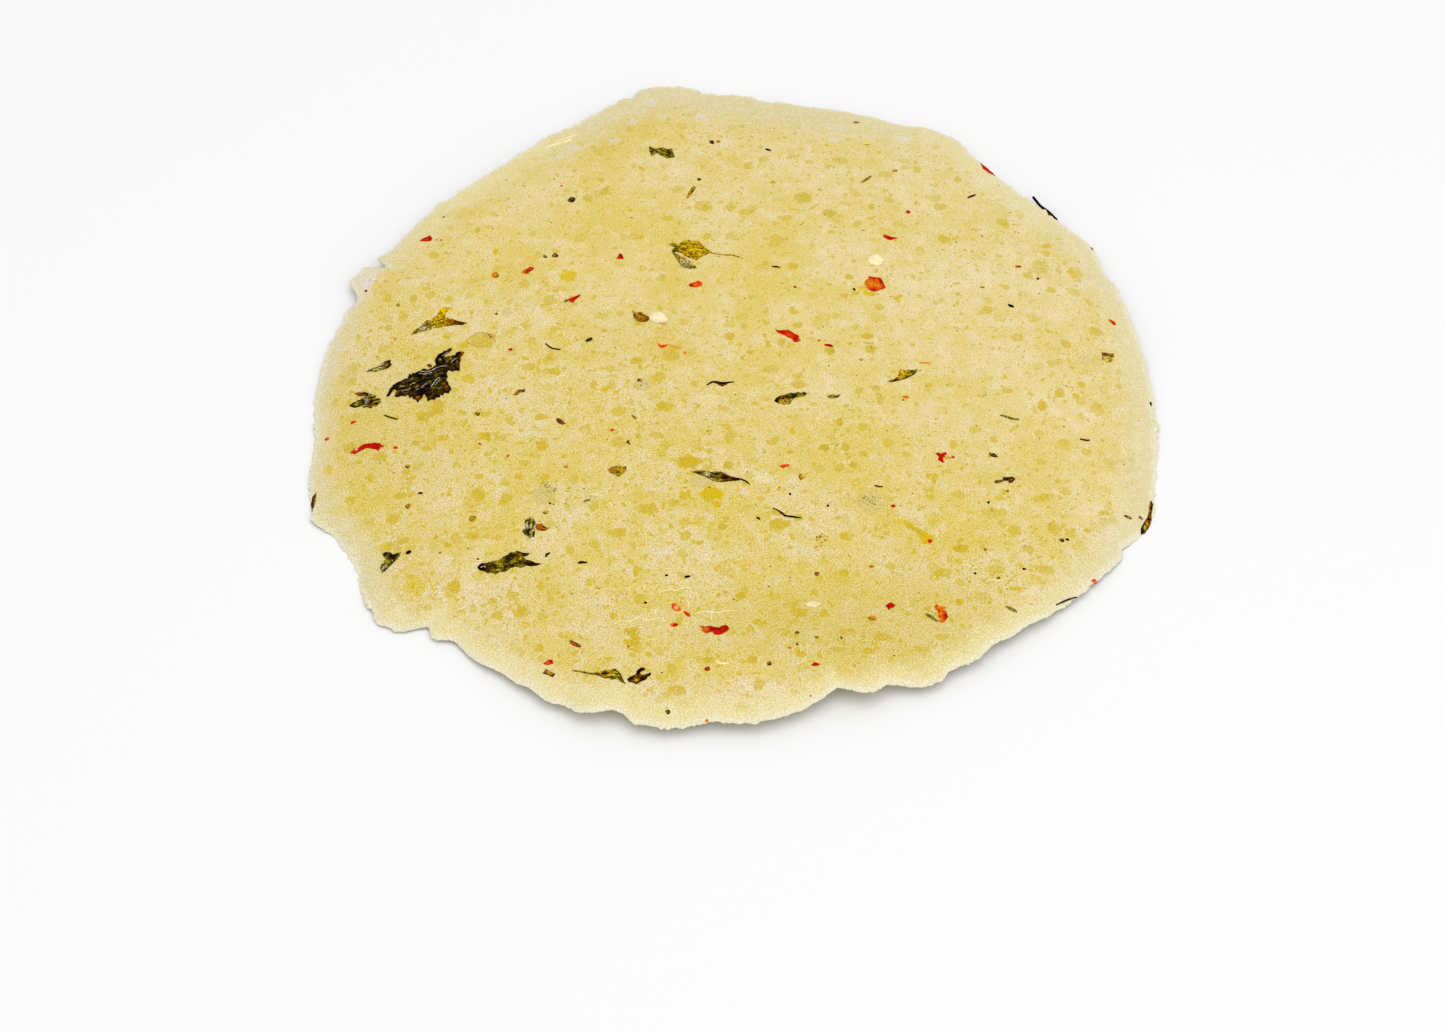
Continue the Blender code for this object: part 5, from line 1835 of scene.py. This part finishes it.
@dataclass
class FleckPress:
    """Makes the pressed-in bits of one piece, each one a closed, draped shape."""

    name: str
    surface: DoughSurface
    seed: int
    facet: float = 0.00034
    lift: float = 0.00004
    thickness: float = 0.00012
    vein_length: float = 0.0020
    vein_width: float = 0.00055
    # The veining darkens and lightens along the streaks that also raise the crumpling: partly the bits' own
    # streaks, partly painted shade in the valleys and painted light on the crests
    veins_and_shading: float = 0.55
    outlining: float = 0.75
    edge_tone: Tone = BROWN
    edge_share: float = 0.25
    sunk_veins_and_shading: float = 0.35
    bleed: float = 0.00009
    # Painted highlight: the crests of flakes crumpled harder than this are mixed towards GLINT, by up to
    # the share below
    glint_crumple: float = 0.00035
    glint_share: float = 0.06
    darkest: float = 0.08
    lightest: float = 1.7
    # How much faster green and blue fade than red where a bit is dark
    green_power: float = 1.15
    blue_power: float = 1.3
    sharp_degrees: float = 55.0
    # A round bit's corners: how far they reach and how far they are from even, and a thread's ends
    corner_reach: tuple[float, float] = (0.62, 1.16)
    corner_sway: float = 0.3
    thread_end: float = 0.35
    thread_flatness: float = 0.8

    def __post_init__(self) -> None:
        """Starts the piece's mesh and its random numbers."""
        self.chance = random.Random(self.seed)
        self.whole = bmesh.new()
        self.whole.verts.layers.float_color.new("pigment")

    def keep(self, bit: bmesh.types.BMesh) -> None:
        """Adds a finished bit to the piece.

        Args:
            bit: its mesh, which is freed.
        """
        bmesh.ops.recalc_face_normals(bit, faces=bit.faces[:])
        mesh = bpy.data.meshes.new("bit")
        bit.to_mesh(mesh)
        bit.free()
        self.whole.from_mesh(mesh)
        bpy.data.meshes.remove(mesh)

    def drape(self, outline: Sequence[Vector], tones: Sequence[Tone], crumple: float, side: Side,
              dabs: Sequence[Dab] = (), sunk: bool = False) -> None:
        """Cuts a flat bit to its outline, lays it on the dough and crumples it along its veins.

        Args:
            outline: the corners of its outline.
            tones: its tones from one end of its X to the other.
            crumple: the height of its crumpling in metres.
            side: the face that it is pressed into.
            dabs: soft spots of other tones.
            sunk: whether its edge is left as it is, and not darkened.
        """
        bit = bmesh.new()
        layer = bit.verts.layers.float_color.new("pigment")
        bit.faces.new([bit.verts.new(corner) for corner in outline])
        for axis, normal in enumerate((Vector((1.0, 0.0, 0.0)), Vector((0.0, 1.0, 0.0)))):
            first, last = (end(corner[axis] for corner in outline) for end in (min, max))
            for cut in range(1, math.ceil((last - first) / self.facet)):
                plane = normal * (first + cut * self.facet)
                whole = [*bit.verts, *bit.edges, *bit.faces]
                bmesh.ops.bisect_plane(bit, geom=whole, dist=1e-6, plane_co=plane, plane_no=normal)
        low = min(corner.x for corner in outline)
        span = max(max(corner.x for corner in outline) - low, MM * 0.1)
        middle = sum(outline, Vector()) / len(outline)
        vein = max((corner - middle for corner in outline), key=lambda way: way.length)
        vein = Vector((vein.x, vein.y, 0.0)).normalized()
        across = Vector((-vein.y, vein.x, 0.0))
        shuffle = Vector((self.chance.uniform(-9.0, 9.0), self.chance.uniform(-9.0, 9.0), 0.0))
        places = [(self.surface.seen(dab.pixel), dab.radius * MM, Vector(dab.tone.value)) for dab in dabs]
        glinting = min(1.0, max(0.0, crumple / self.glint_crumple - 1.0))
        veins_and_shading = self.veins_and_shading * (self.sunk_veins_and_shading if sunk else 1.0)
        for vert in bit.verts:
            away = vert.co - middle
            spot = Vector((away.dot(vein) / self.vein_length, away.dot(across) / self.vein_width, 0.0))
            streak = noise.noise(spot + shuffle) + 0.5 * noise.noise(spot * 2.1 + shuffle)
            rise = 0.0 if vert.is_boundary else crumple * min(1.0, max(0.0, 0.45 + streak))
            colour = Vector(self.toned(tones, (vert.co.x - low) / span + 0.12 * streak))
            for place, radius, tone in places:
                gap = Vector((vert.co.x - place.x, vert.co.y - place.y)).length / radius
                colour = colour.lerp(tone, math.exp(-(gap**2)))
            # Painted shade and light: the streaks that raise the crumpling also darken its valleys and
            # lighten its crests, on top of the bit's own streaks
            depth = min(self.lightest, max(self.darkest, 1.0 + veins_and_shading * 2.0 * streak))
            fading = (depth, depth**self.green_power, depth**self.blue_power)
            colour = Vector(channel * fade for channel, fade in zip(colour, fading))
            # Painted highlight: on hard-crumpled flakes the crests are mixed towards GLINT
            glint_amount = glinting * min(1.0, max(0.0, (streak - 0.22) * 4.0))
            colour = colour.lerp(Vector(GLINT.value), self.glint_share * glint_amount)
            if vert.is_boundary and not sunk:
                colour = (colour * self.outlining).lerp(Vector(self.edge_tone.value), self.edge_share)
            level = self.surface.level(vert.co.x, vert.co.y, side)
            vert.co.z = level + side.value * (self.lift + rise)
            vert[layer] = (*colour, 1.0)
        grown = bmesh.ops.extrude_face_region(bit, geom=bit.faces[:], use_keep_orig=True)["geom"]
        below = [part for part in grown if isinstance(part, bmesh.types.BMVert)]
        bmesh.ops.translate(bit, verts=below, vec=(0.0, 0.0, -side.value * self.thickness))
        self.keep(bit)

    @staticmethod
    def toned(tones: Sequence[Tone], along: float) -> Colour:
        """Mixes the tones along a bit.

        Args:
            tones: the tones, evenly spread.
            along: the place along the bit, from 0 to 1.

        Returns:
            A linear colour.
        """
        spot = min(max(along, 0.0), 1.0) * (len(tones) - 1)
        index = min(int(spot), max(len(tones) - 2, 0))
        following = min(index + 1, len(tones) - 1)
        first, second = Vector(tones[index].value), Vector(tones[following].value)
        return tuple(first.lerp(second, spot - index))

    def flake(self, flake: Flake) -> None:
        """Presses in a bit that the photograph outlines."""
        outline = self.grown(self.surface.path(flake.outline))
        self.drape(outline, flake.tones, flake.crumple, Side.TOP, flake.dabs, flake.sunk)

    def grown(self, outline: Sequence[Vector]) -> list[Vector]:
        """Moves an outline out by the bleed, which makes up for the blur of the thin bits' edges.

        Args:
            outline: its corners.

        Returns:
            The moved corners.
        """
        round_trip = zip([*outline[-1:], *outline[:-1]], outline, [*outline[1:], *outline[:1]])
        turning = sum(here.cross(after).z for here, after in zip(outline, [*outline[1:], *outline[:1]]))
        hand = 1.0 if turning > 0.0 else -1.0
        moved = []
        for before, here, after in round_trip:
            along = (here - before).normalized() + (after - here).normalized()
            out = Vector((along.y, -along.x, 0.0)) * hand
            moved.append(here + out.normalized() * self.bleed if out.length > 0.1 else here.copy())
        return moved

    def bit(self, bit: Bit, crumple: float = 0.00012) -> None:
        """Presses in a small bit with an uneven round outline.

        Args:
            bit: its place, size and tones.
            crumple: the height of its crumpling in metres.
        """
        middle = self.surface.seen(bit.pixel)
        width, depth = (size * MM + 1.5 * self.bleed for size in (bit.width, bit.depth))
        self.blob(middle, width, depth, bit.turn, bit.tones, crumple, Side.TOP)

    def sprinkle(self, patch: Sprinkle) -> None:
        """Presses in a loose patch of grains, closer together at its middle."""
        middle = self.surface.seen(patch.pixel)
        for _ in range(patch.count):
            out = patch.reach * MM * 0.5 * self.chance.random() ** 0.8
            turn = self.chance.uniform(-math.pi, math.pi)
            place = middle + Vector((out * math.cos(turn), out * math.sin(turn), 0.0))
            size = patch.width * MM * self.chance.uniform(0.7, 1.7)
            tone = self.chance.choice(patch.tones)
            self.blob(place, size, size * 0.7, self.chance.uniform(0, 180), (tone,), 0.00002, Side.TOP, 5)

    def blob(self, middle: Vector, width: float, depth: float, turn: float, tones: Sequence[Tone],
             crumple: float, side: Side, corners: int = 7) -> None:
        """Presses in a bit of a given size.

        Args:
            middle: its place.
            width: its longer way, in metres.
            depth: its other way.
            turn: the longer way's direction in degrees.
            tones: its tones.
            crumple: the height of its crumpling.
            side: the face that it is pressed into.
            corners: how many corners its outline has.
        """
        turned = Matrix.Rotation(math.radians(turn), 3, "Z")
        outline = []
        for corner in range(corners):
            sway = self.chance.uniform(-self.corner_sway, self.corner_sway)
            angle = 2.0 * math.pi * (corner + sway) / corners
            reach = self.chance.uniform(*self.corner_reach)
            flat = Vector((math.cos(angle) * width, math.sin(angle) * depth, 0.0)) * (reach / 2.0)
            outline.append(middle + turned @ flat)
        self.drape(outline, tones, crumple, side)

    def thread(self, path: Sequence[Vector], width: float, tone: Tone, side: Side, sides: int = 6,
               raised: float = 0.0) -> None:
        """Lays a tapering stalk or fibre along a path.

        Args:
            path: the places that it runs through.
            width: its width in metres.
            tone: its tone.
            side: the face that it lies on.
            sides: how many sides its section has.
            raised: how far it stands off the dough, in metres.
        """
        line = self.smooth_path(path, width)
        bit = bmesh.new()
        layer = bit.verts.layers.float_color.new("pigment")
        ring = bmesh.ops.create_circle(bit, cap_ends=True, segments=sides, radius=1.0)["verts"]
        face = bit.faces[:][0]
        rings = [ring]
        for _ in line[1:]:
            grown = bmesh.ops.extrude_discrete_faces(bit, faces=[face])
            face = grown["faces"][0]
            rings.append(list(face.verts))
        bit.faces.new(reversed(ring))
        for index, (verts, place) in enumerate(zip(rings, line)):
            ahead = line[min(index + 1, len(line) - 1)] - line[max(index - 1, 0)]
            across = Vector((-ahead.y, ahead.x, 0.0)).normalized()
            along = index / (len(line) - 1)
            fullness = math.sin(math.pi * min(max(along, 0.08), 0.92)) ** 0.5
            taper = self.thread_end + (1.0 - self.thread_end) * fullness
            radius = 0.5 * width * taper * self.chance.uniform(0.85, 1.15)
            level = self.surface.level(place.x, place.y, side) + side.value * (raised + 0.25 * radius)
            for number, vert in enumerate(verts):
                angle = 2.0 * math.pi * number / sides
                spread = across * (math.cos(angle) * radius)
                vert.co = Vector((place.x, place.y, level)) + spread
                vert.co.z += self.thread_flatness * math.sin(angle) * radius
        for vert in bit.verts:
            vert[layer] = (*tone.value, 1.0)
        self.keep(bit)

    @staticmethod
    def smooth_path(path: Sequence[Vector], width: float) -> list[Vector]:
        """Rounds a path of a few places.

        Args:
            path: the places.
            width: the thread's width, which sets the step along it.

        Returns:
            Places about a width and a half apart.
        """
        ends = [path[0] * 2.0 - path[1], *path, path[-1] * 2.0 - path[-2]]
        line = []
        for before, start, end, after in zip(ends, ends[1:], ends[2:], ends[3:]):
            steps = max(2, round((end - start).length / (1.5 * width)))
            for step in range(steps):
                t = step / steps
                bend = (end - before) * t + (before * 2.0 - start * 5.0 + end * 4.0 - after) * t**2
                bend += (start * 3.0 - before - end * 3.0 + after) * t**3
                line.append(start + bend * 0.5)
        return [*line, path[-1].copy()]

    def finish(self, material: bpy.types.Material, slot: Slot) -> bpy.types.Object:
        """Makes the piece's object and ties it to the frame.

        Args:
            material: its finish.
            slot: the record's slot for its finish; not used.

        Returns:
            The piece.
        """
        mesh = bpy.data.meshes.new(self.name)
        self.whole.to_mesh(mesh)
        self.whole.free()
        mesh.shade_smooth()
        mesh.set_sharp_from_angle(angle=math.radians(self.sharp_degrees))
        mesh.materials.append(material)
        piece = bpy.data.objects.new(self.name, mesh)
        bpy.context.scene.collection.objects.link(piece)
        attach(piece, ROOT)
        return piece


@dataclass
class Scatter:
    """Random places on the disc for the bits that no photograph shows one by one."""

    form: DoughForm
    seed: int
    margin: float = 0.003

    def __post_init__(self) -> None:
        """Starts the random numbers."""
        self.chance = random.Random(self.seed)

    def places(self, count: int) -> Iterable[Vector]:
        """Gives places spread evenly over the disc.

        Args:
            count: how many.

        Returns:
            Places at height 0.
        """
        shift = self.form.shift()
        reach = self.form.radius - self.margin
        for _ in range(count):
            out = reach * math.sqrt(self.chance.random())
            turn = self.chance.uniform(-math.pi, math.pi)
            yield Vector((out * math.cos(turn) + shift.x, out * math.sin(turn) + shift.y, 0.0))


@dataclass(frozen=True)
class Strewing:
    """Crumbs strewn at random over one face: how many, their widths in metres and their tones.

    Two sizes are the ends of a range, and more are choices. The depths are shares of the width,
    either one or the ends of a range.
    """

    count: int
    sizes: tuple[float, ...]
    tones: tuple[tuple[Tone, ...], ...]
    side: Side = Side.UNDERSIDE
    turned: bool = True
    depths: tuple[float, ...] = (0.7,)
    crumple: float = 0.00005
    corners: int = 5


HERB_DUST = Strewing(120, (0.00018, 0.00045), ((DARK_GREEN,), (OLIVE,), (BLACK,), (OLIVE,)), Side.TOP)
HERBS_BELOW = (
    Strewing(16, (0.0014, 0.0055),
             ((BLACK, DARK_GREEN, BROWN), (OLIVE, GREEN, DARK_GREEN), (DUSTY, OLIVE, BLACK)),
             depths=(0.3, 0.6), crumple=0.00012, corners=13),
    Strewing(110, (0.00018, 0.0007), ((DARK_GREEN,), (OLIVE,), (BLACK,)), turned=False),
)
CHILLI_BELOW = Strewing(
    30, (0.0007, 0.0010, 0.0014, 0.0026, 0.0040), ((RED, ORANGE_RED), (ORANGE_RED,), (RED, DARK_RED)),
    depths=(0.55,), crumple=0.0001, corners=7,
)
CRUMB_TONES = ((RUST,), (AMBER,), (YELLOW,), (BROWN,))
SPICE_DUST = Strewing(90, (0.00020, 0.00050), CRUMB_TONES, Side.TOP, False, (0.8,))
SPICE_BELOW = Strewing(70, (0.0003, 0.0018), CRUMB_TONES, crumple=0.0001, corners=7)


@dataclass
class Seasoning:
    """Everything pressed into the dough, one piece for each kind. Pairs are the ends of a range."""

    form: DoughForm
    surface: DoughSurface
    # How far the painted highlight threads stand off the dough
    painted_glint_rise: float = 0.00045
    seed_half_height: float = 0.00030
    seed_rise: float = 0.00008
    # A seed's height in its dished middle, what its rim adds, and where its beak starts and how far it goes
    seed_dish: float = 0.55
    seed_rim: float = 0.75
    beak_start: float = 0.75
    beak_pull: float = 0.9
    stalks_below: int = 16
    stalk_lengths: tuple[float, float] = (0.001, 0.005)
    stalk_widths: tuple[float, float] = (0.0003, 0.0005)
    # The fibres in the patches, how they spread there, and the fibres strewn over both faces
    patch_lengths: tuple[float, float] = (0.0005, 0.0026)
    patch_widths: tuple[float, float] = (0.00011, 0.00021)
    patch_spread: tuple[float, float] = (0.45, 0.35)
    fibres_on_top: int = 170
    fibres_below: int = 120
    fibre_lengths: tuple[float, float] = (0.0006, 0.0026)
    fibre_widths: tuple[float, float] = (0.00010, 0.00019)

    def build(self) -> list[bpy.types.Object]:
        """Makes the pieces.

        Returns:
            The pieces.
        """
        return [
            self.herb_leaves(),
            self.herb_threads(),
            self.chilli_flakes(),
            self.chilli_seeds(),
            self.spice_crumbs(),
            self.pale_fibres(),
        ]

    def press_in(self, press: FleckPress, flakes: Sequence[Flake], bits: Sequence[Bit],
                 patches: Sequence[Sprinkle] = (), painted_glints: Sequence[Thread] = ()) -> None:
        """Presses in what the photograph shows of one kind.

        Args:
            press: the piece that it joins.
            flakes: its outlined bits.
            bits: its small ones.
            patches: its loose grains.
            painted_glints: the painted highlights along the ridges on its flakes.
        """
        for flake in flakes:
            press.flake(flake)
        for painted_glint in painted_glints:
            path = self.surface.path(painted_glint.path)
            press.thread(path, painted_glint.width * MM, painted_glint.tone, Side.TOP, 4, self.painted_glint_rise)
        for bit in bits:
            press.bit(bit)
        for patch in patches:
            press.sprinkle(patch)

    def strew(self, press: FleckPress, seed: int, margin: float, *strewings: Strewing) -> None:
        """Strews crumbs at random.

        Args:
            press: the piece that they join.
            seed: the random numbers' seed.
            margin: how far they stay from the rim, in metres.
            strewings: what is strewn, one after another.
        """
        scatter = Scatter(self.form, seed, margin)
        chance = scatter.chance
        for kind in strewings:
            for place in scatter.places(kind.count):
                size = chance.uniform(*kind.sizes) if len(kind.sizes) == 2 else chance.choice(kind.sizes)
                tones = chance.choice(kind.tones)
                depth = size * (chance.uniform(*kind.depths) if len(kind.depths) == 2 else kind.depths[0])
                turn = chance.uniform(0, 180) if kind.turned else 0.0
                press.blob(place, size, depth, turn, tones, kind.crumple, kind.side, kind.corners)

    def herb_leaves(self) -> bpy.types.Object:
        """Makes the leaves and leaf crumbs."""
        press = FleckPress("herb_leaves", self.surface, 11, facet=0.00020, veins_and_shading=1.5, outlining=0.25,
                           vein_length=0.0016, vein_width=0.00048)
        self.press_in(press, LEAVES, HERB_BITS, HERB_SPRINKLES, PAINTED_GLINTS)
        self.strew(press, 12, 0.003, HERB_DUST)
        self.strew(press, 13, 0.008, *HERBS_BELOW)
        return press.finish(HERB_FINISH.material(), Slot.HERB)

    def herb_threads(self) -> bpy.types.Object:
        """Makes the stalks and curled strips."""
        press = FleckPress("herb_threads", self.surface, 21)
        for thread in HERB_THREADS:
            path = self.surface.path(thread.path)
            press.thread(path, thread.width * MM + press.bleed, thread.tone, Side.TOP)
        below = Scatter(self.form, 22, 0.008)
        for place in below.places(self.stalks_below):
            path = self.arc(place, below.chance.uniform(*self.stalk_lengths), below.chance)
            tone = below.chance.choice((BLACK, DARK_GREEN, OLIVE))
            press.thread(path, below.chance.uniform(*self.stalk_widths), tone, Side.UNDERSIDE)
        return press.finish(HERB_FINISH.material(), Slot.HERB)

    def chilli_flakes(self) -> bpy.types.Object:
        """Makes the red and orange flakes."""
        press = FleckPress("chilli_flakes", self.surface, 31, facet=0.00025, veins_and_shading=0.35, outlining=1.0,
                           edge_tone=ORANGE, edge_share=0.40)
        self.press_in(press, CHILLI, CHILLI_BITS)
        self.strew(press, 32, 0.008, CHILLI_BELOW)
        return press.finish(CHILLI_FINISH.material(), Slot.CHILLI)

    def spice_crumbs(self) -> bpy.types.Object:
        """Makes the brown, rust and golden crumbs."""
        press = FleckPress("spice_crumbs", self.surface, 41, facet=0.00025, veins_and_shading=0.6)
        self.press_in(press, SPICE, SPICE_BITS, SPICE_SPRINKLES)
        self.strew(press, 42, 0.003, SPICE_DUST)
        self.strew(press, 43, 0.006, SPICE_BELOW)
        return press.finish(SPICE_FINISH.material(), Slot.SPICE)

    def chilli_seeds(self) -> bpy.types.Object:
        """Makes the flat round seeds, half sunk in the dough."""
        press = FleckPress("chilli_seeds", self.surface, 51)
        for seed in SEEDS:
            self.seed(press, self.surface.seen(seed.pixel), seed)
        return press.finish(SEED_FINISH.material(), Slot.SEED)

    def seed(self, press: FleckPress, place: Vector, seed: Bit) -> None:
        """Makes one seed: a flat disc with a thick rim, a dished middle and a small beak.

        Args:
            press: the piece that it joins.
            place: its middle on the dough.
            seed: its size, turn and tone.
        """
        bit = bmesh.new()
        layer = bit.verts.layers.float_color.new("pigment")
        bmesh.ops.create_uvsphere(bit, u_segments=24, v_segments=12, radius=1.0)
        half_width, half_depth = (size * MM / 2.0 + press.bleed for size in (seed.width, seed.depth))
        for vert in bit.verts:
            out = math.hypot(vert.co.x, vert.co.y)
            vert[layer] = (*seed.tones[0].value, 1.0)
            vert.co.z *= self.seed_dish + self.seed_rim * out**3
            beak = max(0.0, vert.co.x - self.beak_start)
            vert.co.x += self.beak_pull * beak
        bmesh.ops.scale(bit, verts=bit.verts[:], vec=(half_width, half_depth, self.seed_half_height))
        upright = Vector((0.0, 0.0, 1.0)).rotation_difference(self.surface.normal(place.x, place.y))
        turned = upright.to_matrix() @ Matrix.Rotation(math.radians(seed.turn), 3, "Z")
        bmesh.ops.rotate(bit, verts=bit.verts[:], cent=(0.0, 0.0, 0.0), matrix=turned)
        bmesh.ops.translate(bit, verts=bit.verts[:], vec=place + Vector((0.0, 0.0, self.seed_rise)))
        press.keep(bit)

    def pale_fibres(self) -> bpy.types.Object:
        """Makes the thin pale fibres that lie on the dough, with the pale crinkles whose paleness is partly
        painted highlight.
        """
        press = FleckPress("pale_fibres", self.surface, 61)
        for crinkle in (*CRINKLES, *FAINT_THREADS):
            path = self.surface.path(crinkle.path)
            press.thread(path, crinkle.width * MM, crinkle.tone, Side.TOP, 4)
        chance = random.Random(64)
        for pixel, reach, count in FIBRE_PATCHES:
            middle = self.surface.seen(pixel)
            for _ in range(count):
                across, along = (chance.gauss(0.0, spread) for spread in self.patch_spread)
                away = Vector((across, along, 0.0)) * (reach * MM)
                path = self.arc(middle + away, chance.uniform(*self.patch_lengths), chance)
                tone = chance.choice((CREAM, STRAW))
                press.thread(path, chance.uniform(*self.patch_widths), tone, Side.TOP, 4)
        for scatter, side, count in (
            (Scatter(self.form, 62), Side.TOP, self.fibres_on_top),
            (Scatter(self.form, 63, 0.006), Side.UNDERSIDE, self.fibres_below),
        ):
            for place in scatter.places(count):
                path = self.arc(place, scatter.chance.uniform(*self.fibre_lengths), scatter.chance)
                width = scatter.chance.uniform(*self.fibre_widths)
                press.thread(path, width, scatter.chance.choice((CREAM, STRAW)), side, 4)
        return press.finish(FIBRE_FINISH.material(), Slot.DOUGH)

    @staticmethod
    def arc(place: Vector, length: float, chance: random.Random) -> list[Vector]:
        """Gives a short bent path.

        Args:
            place: its middle.
            length: its length.
            chance: the random numbers that turn and bend it.

        Returns:
            Three places.
        """
        turn = chance.uniform(0.0, math.pi)
        run = Vector((math.cos(turn), math.sin(turn), 0.0)) * (length / 2.0)
        sag = Vector((-run.y, run.x, 0.0)) * chance.uniform(-0.4, 0.4)
        return [place - run, place + sag, place + run]


@dataclass
class Studio:
    """A plain pale floor under soft, even light."""

    floor_size: float = 3.0
    world_strength: float = 0.68
    key_power: float = 5.15
    key_size: float = 1.1
    key_place: tuple[float, float, float] = (0.05, -0.10, 1.08)
    fill_power: float = 3.0
    fill_size: float = 1.4
    fill_place: tuple[float, float, float] = (0.70, -0.90, 0.80)

    def build(self) -> None:
        """Makes the floor, the lights and the world."""
        floor = bmesh.new()
        bmesh.ops.create_grid(floor, x_segments=1, y_segments=1, size=self.floor_size)
        mesh = bpy.data.meshes.new("floor")
        floor.to_mesh(mesh)
        floor.free()
        mesh.materials.append(FloorFinish().material())
        floor_object = bpy.data.objects.new("floor", mesh)
        bpy.context.scene.collection.objects.link(floor_object)
        self.lamp("key", self.key_place, self.key_size, self.key_power)
        self.lamp("fill", self.fill_place, self.fill_size, self.fill_power)
        world = bpy.data.worlds.new("studio")
        world.use_nodes = True
        background = world.node_tree.nodes["Background"]
        background.inputs["Color"].default_value = (1.0, 1.0, 1.0, 1.0)
        background.inputs["Strength"].default_value = self.world_strength
        bpy.context.scene.world = world
        bpy.context.scene.view_settings.view_transform = "Standard"

    @staticmethod
    def lamp(name: str, place: tuple[float, float, float], size: float, power: float) -> None:
        """Adds a square soft light that faces the origin.

        Args:
            name: its name.
            place: where it stands.
            size: its side in metres.
            power: its power in watts.
        """
        data = bpy.data.lights.new(name, "AREA")
        data.size = size
        data.energy = power
        light = bpy.data.objects.new(name, data)
        light.location = place
        light.rotation_euler = Vector(place).to_track_quat("Z", "Y").to_euler()
        bpy.context.scene.collection.objects.link(light)


def triangles(piece: bpy.types.Object) -> int:
    """Counts a piece's triangles."""
    return sum(len(face.vertices) - 2 for face in piece.data.polygons)


def main() -> None:
    """Dresses the papadum and builds its studio."""
    logging.basicConfig(level=logging.INFO, format="%(name)s: %(message)s")
    form = DoughForm()
    camera = PhotoCamera()
    camera.build(form.shift())
    view = View(form, camera)
    sheet = PapadumSheet(form, view).build()
    sheet.data.materials.append(DoughFinish().material())
    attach(sheet, ROOT)
    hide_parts(CAD_NODE)
    pieces = [sheet, *Seasoning(form, DoughSurface(sheet, view)).build()]
    for piece in pieces:
        LOG.info("%s: %d triangles", piece.name, triangles(piece))
    Studio().build()


if __name__ == "__main__":
    main()
